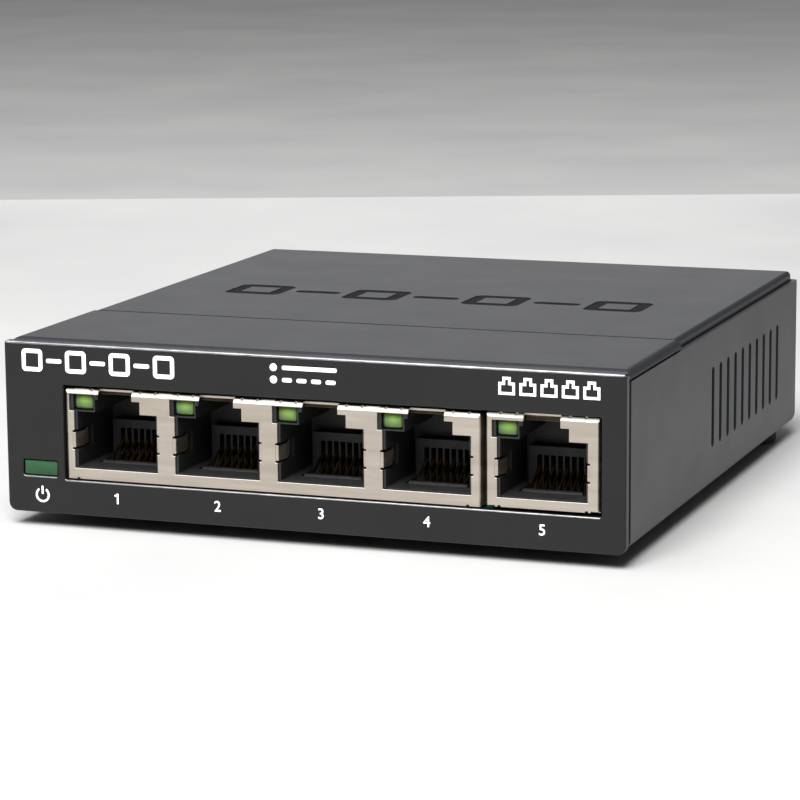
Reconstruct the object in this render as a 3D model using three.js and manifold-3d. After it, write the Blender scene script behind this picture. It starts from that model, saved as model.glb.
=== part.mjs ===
// Five-port desktop network switch in a folded steel case.
// Millimetres, +Z up, front face towards -Y, origin under the middle of the feet.

import * as THREE from 'three';
import { mergeVertices } from 'three/addons/utils/BufferGeometryUtils.js';
import Module from 'manifold-3d';

const wasm = await Module();
wasm.setup();

// ---- Driving dimensions -------------------------------------------------
// Heights are measured from the underside of the case; the feet lift it off the table.

const WIDTH = 94; // outside of the side walls
const DEPTH = 101; // face of the front panel to the rear wall
const HEIGHT = 25.2; // underside of the case to the top of the cover
const FOOT_HEIGHT = 2.4;
const SHEET = 0.75; // case steel
const BEND = 1.5; // outer radius where the floor folds into the walls
const GAP = 0.1; // assembly clearance between neighbouring pieces

const FRONT = -DEPTH / 2;
const REAR = DEPTH / 2;
const WALL_OUT = WIDTH / 2;
const WALL_IN = WALL_OUT - SHEET;
const FLOOR_TOP = SHEET;

const PANEL = { halfWidth: 47, thick: 1.4, bottom: -0.25, top: 25.0, corner: 1.3, chamfer: 0.35 };
const PANEL_BACK = FRONT + PANEL.thick;
const PANEL_RETURN = { reach: 5.6, thick: 0.8, side: 45.85, bottom: 1.05, top: 19.4 };
const JACK_WINDOW = { left: -37.75, right: 43.5, bottom: 4.9, top: 18.9 };
const LIGHT_WINDOW = { left: -44.4, right: -38.85, bottom: 5.2, top: 7.6 };

const TRAY_FRONT = FRONT + 2.4; // the side walls start behind the panel
const WALL_TOP = 23.7;
const VENT = { count: 10, pitch: 4.5, first: FRONT + 46.5, width: 1.5, bottom: 6.1, top: 18.3 };
const KEYHOLE = { spacing: 60, y: 4, headRadius: 3.75, slotRadius: 1.9, slotLength: 6.5 };

const SEAM = FRONT + 28.7; // gap between the brow and the top cover
const SEAM_GAP = 0.5;
const BROW = {
  front: FRONT + 1.6, roll: 2.0, flangeBottom: 21.8, skirtBottom: 24.0, sideRelief: 1.2, guideInset: 3,
};
const COVER = { skirtOut: WALL_IN - 0.15, skirtBottom: 19.7, rear: REAR - SHEET - 0.1, edge: 0.8 };
const COVER_SCREW = { x: 38, z: 16.7, headRadius: 2.6, headDepth: 0.95, shankRadius: 1.45, length: 5 };
const COVER_SCREW_SEAT = { innerRadius: 2.0, outerRadius: 2.85 };
const COVER_SCREW_CROSS = { long: 2.6, deep: 1.2, wide: 0.6 };
const COVER_TAB = { halfWidth: 4.5, bottom: 12.7, collarRadius: 2.6, collarLength: 1.5 };

const FOOT = { radius: 5, chamfer: 0.4, front: [37, FRONT + 17.5], rear: [40.2, REAR - 6.9] };

const BOARD = { halfWidth: 44.5, front: -47.2, rear: 48.3, bottom: 3.4, thick: 1.6 };
const BOARD_TOP = BOARD.bottom + BOARD.thick;
const STANDOFFS = [[-40.8, -11], [40.8, -11], [-40.8, 33], [40.8, 33]];
const STANDOFF_RADIUS = 3;
const BOARD_HOLE_RADIUS = 1.6;
const BOARD_SCREW = { headRadius: 2.7, headHeight: 1.9, shankRadius: 1.4, length: 5.2 };
const SOLDER_SEAT = BOARD_TOP + 0.05; // parts stand a hair above the laminate

// Port positions: four ports share one shield, the fifth has its own.
const PORT_PITCH = 15.88;
const PORT_X = [0, 1, 2, 3].map((n) => -29.68 + n * PORT_PITCH).concat(34.85);
const SHIELD_FACE = FRONT + 0.5;
const SHIELD_SHEET = 0.35;
const JACK_DEPTH = 16.4;
const GANG = { left: -37.62, right: 25.9, bottom: BOARD_TOP + GAP, top: 18.4, ports: [0, 1, 2, 3] };
const SINGLE = { left: 26.68, right: 43.13, bottom: 5.35, top: 18.7, ports: [4] };

// Port opening, measured across from the port's centre line.
const OPENING = { half: 6.55, bottom: 6.7, shoulder: 15.1, step: 3.85, stepTop: 16.95 };
const LATCH = { left: -2.7, right: 2.6, lipBack: 1.1, lipBottom: 17.55 };
const LED_WINDOW = { left: -7.3, bottom: 15.15, top: 17.62 };
const CAVITY = {
  half: 6.2, floor: 6.85, shoulder: 15.0, stepLeft: -3.4, stepRight: 3.75, stepTop: 16.85, depth: 12.4,
};
const FINGER = { bottom: 9.72, top: 11.98, bump: 0.5, bumpAt: 2.2, length: 4.9, sheet: 0.25 };
const PORT_LED = { left: -6.7, width: 2.95, bottom: 15.32, height: 2.28, depth: 5.8, round: 0.5 };

const WIRES = { count: 8, pitch: 1.02, size: 0.45, length: 7.3, slope: 27 };
const WIRE_PIVOT = { back: 5.0, z: 6.55 };
const WIRE_TROUGH = { half: 4.9, front: 4.2, bottom: 5.8 };
const WIRE_ROOT = { radius: 0.55, halfLength: 4.4 };
const WIRE_COMB = { front: 10.1, back: 12.75, half: 5.2, top: 12.2, slotTop: 10.9, slot: 0.68 };

const INLET = { x: -27, width: 9, height: 11, depth: 13.6, boreRadius: 3.2, boreDepth: 9.6 };
const INLET_BORE_Z = BOARD_TOP + 6.4;
const INLET_HOLE_RADIUS = 4.2;
const INLET_PIN = { radius: 1.0, tip: 1.9, root: 0.6 };
const INLET_SPRING = {
  width: 2.6, thick: 0.4, length: 6.6, tilt: 5, drop: 3.6, rootRadius: 0.5, rootInset: 8.7,
};
const INLET_SPRING_ROOM = { side: 0.2, deep: 9.4, shallow: 1.2, bottom: 1.0, belowAxis: 2 };

const TRANSFORMER = { width: 7.1, length: 15.2, height: 5.9, leads: 6, behindJack: 10.5 };
const SWITCH_CHIP = { x: 2, y: 4, side: 20, height: 1.5, leads: 10 };
const THERMAL_PAD = { side: 18, thick: 0.5 };
const HEAT_SINK = { half: 12, height: 8, base: 2, fins: 7, groove: 2.2 };
const SMALL_CHIP = { width: 4, length: 5, height: 1.6, leads: 4 };
const MEMORY = { x: 24, y: 6 };
const CRYSTAL = { x: -20, y: 6, halfLength: 5.6, halfWidth: 2.3, endRadius: 2.25, height: 3.5 };
const CAPACITOR = { x: [-16, -6], y: 40, radius: 4, height: 11, grooveRadius: 3.72 };
const INDUCTOR = { x: [8, 20], y: 39, half: 3.7, base: 1, height: 4.2 };
const REGULATOR_Y = 28;
const FUSE = { x: -30, y: 29, width: 4.6, length: 3.2, height: 1.5 };
const DIODE = { x: -21, y: 28, width: 4.4, length: 3.6, height: 2.3 };
const POWER_LED = { side: 1.6, height: 1.4, behindEdge: 1.9 };
const LIGHT_PIPE = { clear: 0.15, inset: 0.2, overBoard: 0.6 };

// ---- Finishes -----------------------------------------------------------

const FINISHES = {
  blackPaint: { color: 0x3a3a3c, roughness: 0.42, metalness: 0.3 },
  darkPaint: { color: 0x2f2f31, roughness: 0.38, metalness: 0.25 },
  tinPlate: { color: 0xc8bcae, roughness: 0.35, metalness: 0.9 },
  blackPlastic: { color: 0x141416, roughness: 0.55, metalness: 0 },
  greenLens: { color: 0x6f9c58, roughness: 0.25, metalness: 0 },
  rubber: { color: 0x19191a, roughness: 0.85, metalness: 0 },
  laminate: { color: 0x174a33, roughness: 0.45, metalness: 0 },
  goldWire: { color: 0xc9a24a, roughness: 0.3, metalness: 1 },
  steel: { color: 0xb4b6b8, roughness: 0.35, metalness: 1 },
  aluminium: { color: 0xb9bcc0, roughness: 0.4, metalness: 1 },
  paleGrey: { color: 0x9a9da0, roughness: 0.7, metalness: 0 },
  chipPlastic: { color: 0x1d1d1f, roughness: 0.6, metalness: 0 },
  whiteLed: { color: 0xe4e2d2, roughness: 0.4, metalness: 0 },
};

// ---- Solid helpers ------------------------------------------------------

// Turns a closed three.js geometry into a solid that can be cut and joined.
function solid(geometry) {
  geometry.deleteAttribute('normal');
  geometry.deleteAttribute('uv');
  const merged = mergeVertices(geometry, 1e-5);
  return new wasm.Manifold(new wasm.Mesh({
    numProp: 3,
    vertProperties: Float32Array.from(merged.attributes.position.array),
    triVerts: Uint32Array.from(merged.index.array),
  }));
}

// Axis-aligned block from its low and high corner.
function block(x0, x1, y0, y1, z0, z1) {
  const shape = new THREE.BoxGeometry(x1 - x0, y1 - y0, z1 - z0);
  return solid(shape.translate((x0 + x1) / 2, (y0 + y1) / 2, (z0 + z1) / 2));
}

// Extrudes an outline between two stations along x, y or z. The outline's own
// axes are (y, z) along x, (x, z) along y and (x, y) along z.
function prism(outline, axis, from, to, arcSteps = 2) {
  const depth = to - from;
  const settings = { depth, bevelEnabled: false, curveSegments: arcSteps };
  const geometry = new THREE.ExtrudeGeometry(outline, settings);
  const turn = new THREE.Matrix4();
  if (axis === 'x') {
    turn.set(0, 0, 1, from, 1, 0, 0, 0, 0, 1, 0, 0, 0, 0, 0, 1);
  } else if (axis === 'y') {
    turn.set(1, 0, 0, 0, 0, 0, -1, to, 0, 1, 0, 0, 0, 0, 0, 1);
  } else {
    turn.makeTranslation(0, 0, from);
  }
  return solid(geometry.applyMatrix4(turn));
}

// Round bar along an axis; u and v are its centre in the outline's own axes.
function bar(radius, axis, u, v, from, to, sides = 16) {
  const outline = new THREE.Shape().absarc(u, v, radius, 0, 2 * Math.PI);
  return prism(outline, axis, from, to, sides / 2);
}

// Rectangle with its own radius on the lower and on the upper corners.
function roundedOutline(u0, u1, v0, v1, lower, upper = 0) {
  const outline = new THREE.Shape();
  const quarter = Math.PI / 2;
  const corner = (u, v, radius, start) => {
    if (radius > 0) outline.absarc(u, v, radius, start, start + quarter);
    else outline.lineTo(u, v);
  };
  outline.moveTo(u0 + lower, v0);
  corner(u1 - lower, v0 + lower, lower, -quarter);
  corner(u1 - upper, v1 - upper, upper, 0);
  corner(u0 + upper, v1 - upper, upper, quarter);
  corner(u0 + lower, v0 + lower, lower, 2 * quarter);
  return outline;
}

function outlineOf(points) {
  return new THREE.Shape(points.map(([u, v]) => new THREE.Vector2(u, v)));
}

function join(...solids) {
  return solids.reduce((whole, piece) => whole.add(piece));
}

function cut(whole, ...solids) {
  return solids.reduce((rest, piece) => rest.subtract(piece), whole);
}

const assembly = new THREE.Group();
assembly.position.z = FOOT_HEIGHT;

// Adds one named piece, modelled about its own origin, at its place.
function addPiece(name, shape, finish, x = 0, y = 0, z = 0) {
  const { vertProperties, triVerts } = shape.getMesh();
  const geometry = new THREE.BufferGeometry();
  geometry.setAttribute('position', new THREE.BufferAttribute(vertProperties, 3));
  geometry.setIndex(new THREE.BufferAttribute(triVerts, 1));
  const mesh = new THREE.Mesh(geometry, new THREE.MeshStandardMaterial(FINISHES[finish]));
  mesh.name = name;
  mesh.position.set(x, y, z);
  assembly.add(mesh);
}

// ---- Case ---------------------------------------------------------------

// Slot with round ends cut through both side walls.
function ventSlots() {
  const radius = VENT.width / 2;
  const slots = [];
  for (let n = 0; n < VENT.count; n += 1) {
    const y = VENT.first + n * VENT.pitch;
    const outline = roundedOutline(y - radius, y + radius, VENT.bottom, VENT.top, radius, radius);
    slots.push(prism(outline, 'x', -WALL_OUT - 1, WALL_OUT + 1, 1));
  }
  return slots;
}

// Keyhole that hangs on a wall screw: the slot runs from the head hole to the rear.
function keyhole(x) {
  const low = -1;
  const high = FLOOR_TOP + 1;
  const end = KEYHOLE.y + KEYHOLE.slotLength;
  return join(
    bar(KEYHOLE.headRadius, 'z', x, KEYHOLE.y, low, high),
    block(x - KEYHOLE.slotRadius, x + KEYHOLE.slotRadius, KEYHOLE.y, end, low, high),
    bar(KEYHOLE.slotRadius, 'z', x, end, low, high),
  );
}

// Cone along +Y between two stations, for countersunk heads and their seats.
function cone(x, z, y0, y1, r0, r1) {
  const profile = [[0, y0], [r0, y0], [r1, y1], [0, y1]].map(([r, y]) => new THREE.Vector2(r, y));
  return solid(new THREE.LatheGeometry(profile, 16).translate(x, 0, z));
}

function baseTray() {
  const inner = Math.max(BEND - SHEET, 0.1);
  const outside = prism(roundedOutline(-WALL_OUT, WALL_OUT, 0, WALL_TOP, BEND), 'y', TRAY_FRONT, REAR);
  const inside = prism(
    roundedOutline(-WALL_IN, WALL_IN, FLOOR_TOP, WALL_TOP + 1, inner),
    'y', TRAY_FRONT - 1, REAR - SHEET,
  );
  const standoffs = STANDOFFS.map(([x, y]) => cut(
    bar(STANDOFF_RADIUS, 'z', x, y, FLOOR_TOP - 0.2, BOARD.bottom - 0.05, 12),
    bar(BOARD_SCREW.shankRadius + GAP, 'z', x, y, FLOOR_TOP + 0.05, BOARD.bottom + 1, 12),
  ));
  const screwSeats = [-1, 1].map((side) => cone(
    side * COVER_SCREW.x, COVER_SCREW.z, REAR - SHEET - 0.01, REAR + 0.01,
    COVER_SCREW_SEAT.innerRadius, COVER_SCREW_SEAT.outerRadius,
  ));
  const inletHole = bar(INLET_HOLE_RADIUS, 'y', INLET.x, INLET_BORE_Z, REAR - 2, REAR + 1, 24);
  const keyholes = [-1, 1].map((side) => keyhole((side * KEYHOLE.spacing) / 2));
  const shell = join(cut(outside, inside), ...standoffs);
  return cut(shell, ...ventSlots(), ...screwSeats, inletHole, ...keyholes);
}

function topCover() {
  const front = SEAM + SEAM_GAP / 2;
  const out = COVER.skirtOut;
  const crossSection = (half, top, low, edge) => roundedOutline(-half, half, low, top, 0, edge);
  const outer = prism(crossSection(out, HEIGHT, COVER.skirtBottom, COVER.edge), 'y', front, COVER.rear);
  const inner = prism(
    crossSection(out - SHEET, HEIGHT - SHEET, COVER.skirtBottom - 1, 0.1),
    'y', front - 1, COVER.rear - SHEET,
  );
  const tabs = [-1, 1].map((side) => {
    const x = side * COVER_SCREW.x;
    const plate = block(
      x - COVER_TAB.halfWidth, x + COVER_TAB.halfWidth,
      COVER.rear - SHEET, COVER.rear, COVER_TAB.bottom, COVER.skirtBottom + 1,
    );
    const collar = bar(
      COVER_TAB.collarRadius, 'y', x, COVER_SCREW.z,
      COVER.rear - SHEET - COVER_TAB.collarLength, COVER.rear - SHEET + 0.1, 16,
    );
    return join(plate, collar);
  });
  const tapped = COVER_SCREW.shankRadius + 0.15;
  const cleared = COVER_SCREW.shankRadius + 0.5;
  const screwHoles = [-1, 1].map((side) => join(
    bar(tapped, 'y', side * COVER_SCREW.x, COVER_SCREW.z, REAR - 6, REAR, 16),
    bar(cleared, 'y', side * COVER_SCREW.x, COVER_SCREW.z, COVER.rear - SHEET, REAR, 16),
  ));
  return cut(join(cut(outer, inner), ...tabs), ...screwHoles);
}

// Strip over the jacks: rolls down behind the front panel and drops over the side walls.
function frontBrow() {
  const back = SEAM - SEAM_GAP / 2;
  const profile = (front, roll, top, low) => {
    const outline = new THREE.Shape();
    outline.moveTo(back, low);
    outline.lineTo(back, top);
    outline.absarc(front + roll, top - roll, roll, Math.PI / 2, Math.PI);
    outline.lineTo(front, low);
    return outline;
  };
  const skin = profile(BROW.front, BROW.roll, HEIGHT, BROW.flangeBottom);
  const outer = prism(skin, 'x', -WALL_OUT, WALL_OUT);
  const hollow = profile(BROW.front + SHEET, BROW.roll - SHEET, HEIGHT - SHEET, BROW.flangeBottom - 1);
  const inner = prism(hollow, 'x', -WALL_IN, WALL_IN);
  const openBack = block(-WALL_IN, WALL_IN, back - 1, back + 1, BROW.flangeBottom - 1, HEIGHT - SHEET);
  const sideClearance = [-1, 1].map((side) => {
    const x = side * WALL_OUT;
    return block(
      x - BROW.sideRelief, x + BROW.sideRelief,
      TRAY_FRONT - 0.2, back + 1, BROW.flangeBottom - 1, BROW.skirtBottom,
    );
  });
  const guides = [-1, 1].map((side) => {
    const x = side * (COVER.skirtOut - SHEET / 2);
    return block(
      x - SHEET / 2, x + SHEET / 2,
      BROW.front + BROW.guideInset, back, COVER.skirtBottom, HEIGHT - SHEET / 2,
    );
  });
  return join(cut(outer, inner, openBack, ...sideClearance), ...guides);
}

function frontPanel() {
  const half = PANEL.halfWidth;
  const face = roundedOutline(-half, half, PANEL.bottom, PANEL.top, PANEL.corner, 0.4);
  const plate = prism(face, 'y', FRONT, PANEL_BACK);
  const corner = outlineOf([
    [FRONT - 1, PANEL.top + 1],
    [FRONT - 1, PANEL.top - PANEL.chamfer - 1],
    [FRONT + PANEL.chamfer + 1, PANEL.top + 1],
  ]);
  const chamfer = prism(corner, 'x', -half - 1, half + 1);
  const ring = PANEL_RETURN;
  const returns = cut(
    block(-ring.side, ring.side, PANEL_BACK - 0.2, PANEL_BACK + ring.reach, ring.bottom, ring.top),
    block(
      -ring.side + ring.thick, ring.side - ring.thick,
      PANEL_BACK - 1, PANEL_BACK + ring.reach + 1, ring.bottom + ring.thick, ring.top + 1,
    ),
  );
  const windows = [JACK_WINDOW, LIGHT_WINDOW].map((hole) => block(
    hole.left, hole.right, FRONT - 1, PANEL_BACK + 1, hole.bottom, hole.top,
  ));
  return cut(join(plate, returns), chamfer, ...windows);
}

// Turned foot with a small chamfer round its sole.
function rubberFoot() {
  const { radius, chamfer } = FOOT;
  const top = FOOT_HEIGHT - 0.02;
  const profile = [[0, 0], [radius - chamfer, 0], [radius, chamfer], [radius, top], [0, top]];
  const geometry = new THREE.LatheGeometry(profile.map(([r, z]) => new THREE.Vector2(r, z)), 20);
  return solid(geometry.rotateX(Math.PI / 2));
}

// Countersunk cover screw along -Y, its face at y = 0.
function coverScrew() {
  const { headRadius, headDepth, shankRadius, length } = COVER_SCREW;
  const body = join(
    cone(0, 0, -headDepth, 0, shankRadius, headRadius),
    bar(shankRadius, 'y', 0, 0, -length, -headDepth + 0.1, 12),
  );
  const cross = COVER_SCREW_CROSS;
  const recess = [0, Math.PI / 2].map((turn) => solid(
    new THREE.BoxGeometry(cross.long, cross.deep, cross.wide).rotateY(turn),
  ));
  return cut(body, ...recess);
}

function addCase() {
  addPiece('base_tray', baseTray(), 'blackPaint');
  addPiece('top_cover', topCover(), 'blackPaint');
  addPiece('front_brow', frontBrow(), 'blackPaint');
  addPiece('front_panel', frontPanel(), 'darkPaint');
  const feet = [FOOT.front, FOOT.rear].flatMap(([x, y]) => [[-x, y], [x, y]]);
  feet.forEach(([x, y], n) => {
    addPiece(`rubber_foot_${n + 1}`, rubberFoot(), 'rubber', x, y, -FOOT_HEIGHT);
  });
  [-1, 1].forEach((side, n) => {
    const x = side * COVER_SCREW.x;
    addPiece(`cover_screw_${n + 1}`, coverScrew(), 'steel', x, REAR - 0.1, COVER_SCREW.z);
  });
}

// ---- Jacks --------------------------------------------------------------

// The stepped hole that one plug and its latch go through.
function portOutline(x) {
  return outlineOf([
    [x - OPENING.half, OPENING.bottom],
    [x + OPENING.half, OPENING.bottom],
    [x + OPENING.half, OPENING.shoulder],
    [x + OPENING.step, OPENING.shoulder],
    [x + OPENING.step, OPENING.stepTop],
    [x + LATCH.right, OPENING.stepTop],
    [x + LATCH.right, HEIGHT],
    [x + LATCH.left, HEIGHT],
    [x + LATCH.left, LED_WINDOW.top],
    [x + LED_WINDOW.left, LED_WINDOW.top],
    [x + LED_WINDOW.left, LED_WINDOW.bottom],
    [x - OPENING.half, LED_WINDOW.bottom],
  ]);
}

// Grounding finger folded in from one side of the opening: in to a bump and back out.
function groundFinger(x, side) {
  const edge = OPENING.half + FINGER.sheet / 2;
  const strip = [
    [edge, SHIELD_FACE],
    [edge - FINGER.bump, SHIELD_FACE + FINGER.bumpAt],
    [edge, SHIELD_FACE + FINGER.length],
  ];
  const half = FINGER.sheet / 2;
  const outer = strip.map(([u, y]) => [x + side * (u + half), y]);
  const inner = strip.map(([u, y]) => [x + side * (u - half), y]).reverse();
  return prism(outlineOf([...outer, ...inner]), 'z', FINGER.bottom, FINGER.top);
}

// Folded tin-plate shield, open underneath, with one opening for each port.
function jackShield(jack) {
  const back = SHIELD_FACE + JACK_DEPTH;
  const shell = cut(
    block(jack.left, jack.right, SHIELD_FACE, back, jack.bottom, jack.top),
    block(
      jack.left + SHIELD_SHEET, jack.right - SHIELD_SHEET,
      SHIELD_FACE + SHIELD_SHEET, back - SHIELD_SHEET,
      jack.bottom - 1, jack.top - SHIELD_SHEET,
    ),
  );
  const centres = jack.ports.map((n) => PORT_X[n]);
  const openings = centres.map((x) => prism(
    portOutline(x), 'y', SHIELD_FACE - 1, SHIELD_FACE + LATCH.lipBack,
  ));
  const lips = centres.map((x) => block(
    x + LATCH.left - 0.1, x + LATCH.right + 0.1,
    SHIELD_FACE + LATCH.lipBack, SHIELD_FACE + LATCH.lipBack + SHIELD_SHEET,
    LATCH.lipBottom, jack.top,
  ));
  const fingers = centres.flatMap((x) => [groundFinger(x, -1), groundFinger(x, 1)]);
  return join(cut(shell, ...openings), ...lips, ...fingers);
}

// Everything that is hollow in the plastic body round one port.
function portCavity(x, top) {
  const front = SHIELD_FACE;
  const back = front + CAVITY.depth;
  const plug = block(x - CAVITY.half, x + CAVITY.half, front, back, CAVITY.floor, CAVITY.shoulder);
  const latch = block(
    x + CAVITY.stepLeft, x + CAVITY.stepRight, front, back, CAVITY.shoulder - 0.1, CAVITY.stepTop,
  );
  const latchSlot = block(
    x + LATCH.left - 0.2, x + LATCH.right + 0.2, front, front + 9, CAVITY.stepTop - 0.1, top + 1,
  );
  const led = block(
    x + PORT_LED.left - GAP, x + PORT_LED.left + PORT_LED.width + GAP,
    front, front + PORT_LED.depth + 1, PORT_LED.bottom - GAP, PORT_LED.bottom + PORT_LED.height + GAP,
  );
  const trough = block(
    x - WIRE_TROUGH.half, x + WIRE_TROUGH.half,
    front + WIRE_TROUGH.front, back, WIRE_TROUGH.bottom, CAVITY.floor + 0.1,
  );
  const fingerRoom = block(
    x - OPENING.half - 0.5, x + OPENING.half + 0.5,
    front, front + FINGER.length + 0.6, FINGER.bottom - 0.3, FINGER.top + 0.3,
  );
  return join(plug, latch, latchSlot, led, trough, fingerRoom);
}

// Comb at the back of a port that keeps the wire ends apart.
function wireComb(x) {
  const wall = block(
    x - WIRE_COMB.half, x + WIRE_COMB.half,
    SHIELD_FACE + WIRE_COMB.front, SHIELD_FACE + WIRE_COMB.back, WIRE_TROUGH.bottom - 0.2, WIRE_COMB.top,
  );
  const slots = [];
  for (let n = 0; n < WIRES.count; n += 1) {
    const wireX = x + (n - (WIRES.count - 1) / 2) * WIRES.pitch;
    slots.push(block(
      wireX - WIRE_COMB.slot / 2, wireX + WIRE_COMB.slot / 2,
      SHIELD_FACE + WIRE_COMB.front - 1, SHIELD_FACE + CAVITY.depth, WIRE_TROUGH.bottom, WIRE_COMB.slotTop,
    ));
  }
  return cut(wall, ...slots);
}

function jackHousing(jack) {
  const inset = SHIELD_SHEET + 0.05;
  const top = jack.top - inset;
  const body = block(
    jack.left + inset, jack.right - inset,
    SHIELD_FACE + inset, SHIELD_FACE + JACK_DEPTH - inset, jack.bottom, top,
  );
  const centres = jack.ports.map((n) => PORT_X[n]);
  const hollow = cut(body, ...centres.map((x) => portCavity(x, top)));
  return join(hollow, ...centres.map(wireComb));
}

// Eight spring wires moulded into one root bar; the origin is the line they bend about.
function contactComb() {
  const slope = THREE.MathUtils.degToRad(WIRES.slope);
  const root = bar(WIRE_ROOT.radius, 'x', 0, 0, -WIRE_ROOT.halfLength, WIRE_ROOT.halfLength, 8);
  const wires = [];
  for (let n = 0; n < WIRES.count; n += 1) {
    const x = (n - (WIRES.count - 1) / 2) * WIRES.pitch;
    const wire = new THREE.BoxGeometry(WIRES.size, WIRES.length, WIRES.size);
    wires.push(solid(wire.translate(x, WIRES.length / 2, 0).rotateX(slope)));
  }
  return join(root, ...wires);
}

// Indicator block with a rounded front, its front lower left corner at the origin.
function portLed() {
  const { width, height, depth, round } = PORT_LED;
  const outline = roundedOutline(0, width, 0, height, round, round);
  return prism(outline, 'y', 0, depth);
}

function addJacks() {
  addPiece('gang_shield', jackShield(GANG), 'tinPlate');
  addPiece('gang_housing', jackHousing(GANG), 'blackPlastic');
  addPiece('single_shield', jackShield(SINGLE), 'tinPlate');
  addPiece('single_housing', jackHousing(SINGLE), 'blackPlastic');
  PORT_X.forEach((x, n) => {
    const pivotY = SHIELD_FACE + WIRE_PIVOT.back;
    addPiece(`contact_comb_${n + 1}`, contactComb(), 'goldWire', x, pivotY, WIRE_PIVOT.z);
    const ledY = SHIELD_FACE + SHIELD_SHEET + GAP;
    addPiece(`port_led_${n + 1}`, portLed(), 'greenLens', x + PORT_LED.left, ledY, PORT_LED.bottom);
  });
}

// ---- Circuit board and what is on it -------------------------------------

function circuitBoard() {
  const { halfWidth, front, rear, bottom } = BOARD;
  const plate = block(-halfWidth, halfWidth, front, rear, bottom, BOARD_TOP);
  const holes = STANDOFFS.map(([x, y]) => (
    bar(BOARD_HOLE_RADIUS, 'z', x, y, bottom - 1, BOARD_TOP + 1, 12)
  ));
  return cut(plate, ...holes);
}

// Pan-head screw along -Z, its head standing on z = 0.
function boardScrew() {
  const { headRadius, headHeight, shankRadius, length } = BOARD_SCREW;
  const shank = -length + headHeight;
  const profile = [
    [0, shank], [shankRadius, shank], [shankRadius, 0], [headRadius, 0],
    [headRadius, headHeight * 0.55], [headRadius * 0.7, headHeight], [0, headHeight],
  ].map(([r, z]) => new THREE.Vector2(r, z));
  const body = solid(new THREE.LatheGeometry(profile, 12).rotateX(Math.PI / 2));
  const recess = [0, Math.PI / 2].map((turn) => solid(
    new THREE.BoxGeometry(2.8, 0.6, 1.6).rotateZ(turn).translate(0, 0, headHeight),
  ));
  return cut(body, ...recess);
}

// Chip body with leads on two or four sides, centred, standing on z = 0.
function chip(width, length, height, perSide, sides) {
  const lead = { reach: 0.9, wide: 0.4, top: Math.min(height * 0.45, 0.9) };
  const body = block(-width / 2, width / 2, -length / 2, length / 2, 0.1, height);
  const leads = [];
  for (let side = 0; side < sides; side += 1) {
    const across = side < 2 ? length : width;
    const half = (side < 2 ? width : length) / 2;
    const pitch = (across * 0.86) / (perSide - 1);
    for (let n = 0; n < perSide; n += 1) {
      const along = (n - (perSide - 1) / 2) * pitch;
      const leg = new THREE.BoxGeometry(lead.reach, lead.wide, lead.top);
      leg.translate(half + lead.reach / 2 - 0.1, along, lead.top / 2);
      leads.push(solid(leg.rotateZ([0, Math.PI, Math.PI / 2, -Math.PI / 2][side])));
    }
  }
  return join(body, ...leads);
}

// Extruded heat sink with upright fins.
function heatSink() {
  const { half, height, base, fins, groove } = HEAT_SINK;
  const pitch = (2 * half) / fins;
  const grooves = [];
  for (let n = 1; n < fins; n += 1) {
    const x = -half + n * pitch;
    grooves.push(block(x - groove / 2, x + groove / 2, -half - 1, half + 1, base, height + 1));
  }
  return cut(block(-half, half, -half, half, 0, height), ...grooves);
}

// Can with a rolled rim and a plastic seat, standing on z = 0.
function bulkCapacitor() {
  const { radius, height, grooveRadius } = CAPACITOR;
  const profile = [
    [0, 0], [radius * 0.92, 0], [radius, 0.5], [radius, 1.4], [grooveRadius, 1.7], [radius, 2.0],
    [radius, height - 0.5], [radius * 0.9, height], [0, height],
  ].map(([r, z]) => new THREE.Vector2(r, z));
  return solid(new THREE.LatheGeometry(profile, 14).rotateX(Math.PI / 2));
}

function powerInductor() {
  const { half, base, height } = INDUCTOR;
  const foot = block(-half, half, -half, half, 0, base);
  return join(foot, bar(half - 0.3, 'z', 0, 0, base - 0.1, height, 12));
}

function crystalCan() {
  const { halfLength: long, halfWidth: wide, endRadius, height } = CRYSTAL;
  return prism(roundedOutline(-long, long, -wide, wide, endRadius, endRadius), 'z', 0, height, 2);
}

function chamferedBlock(width, length, height) {
  const edge = 0.3;
  const outline = outlineOf([
    [-width / 2, 0], [width / 2, 0], [width / 2, height - edge],
    [width / 2 - edge, height], [-width / 2 + edge, height], [-width / 2, height - edge],
  ]);
  return prism(outline, 'y', -length / 2, length / 2);
}

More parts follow.
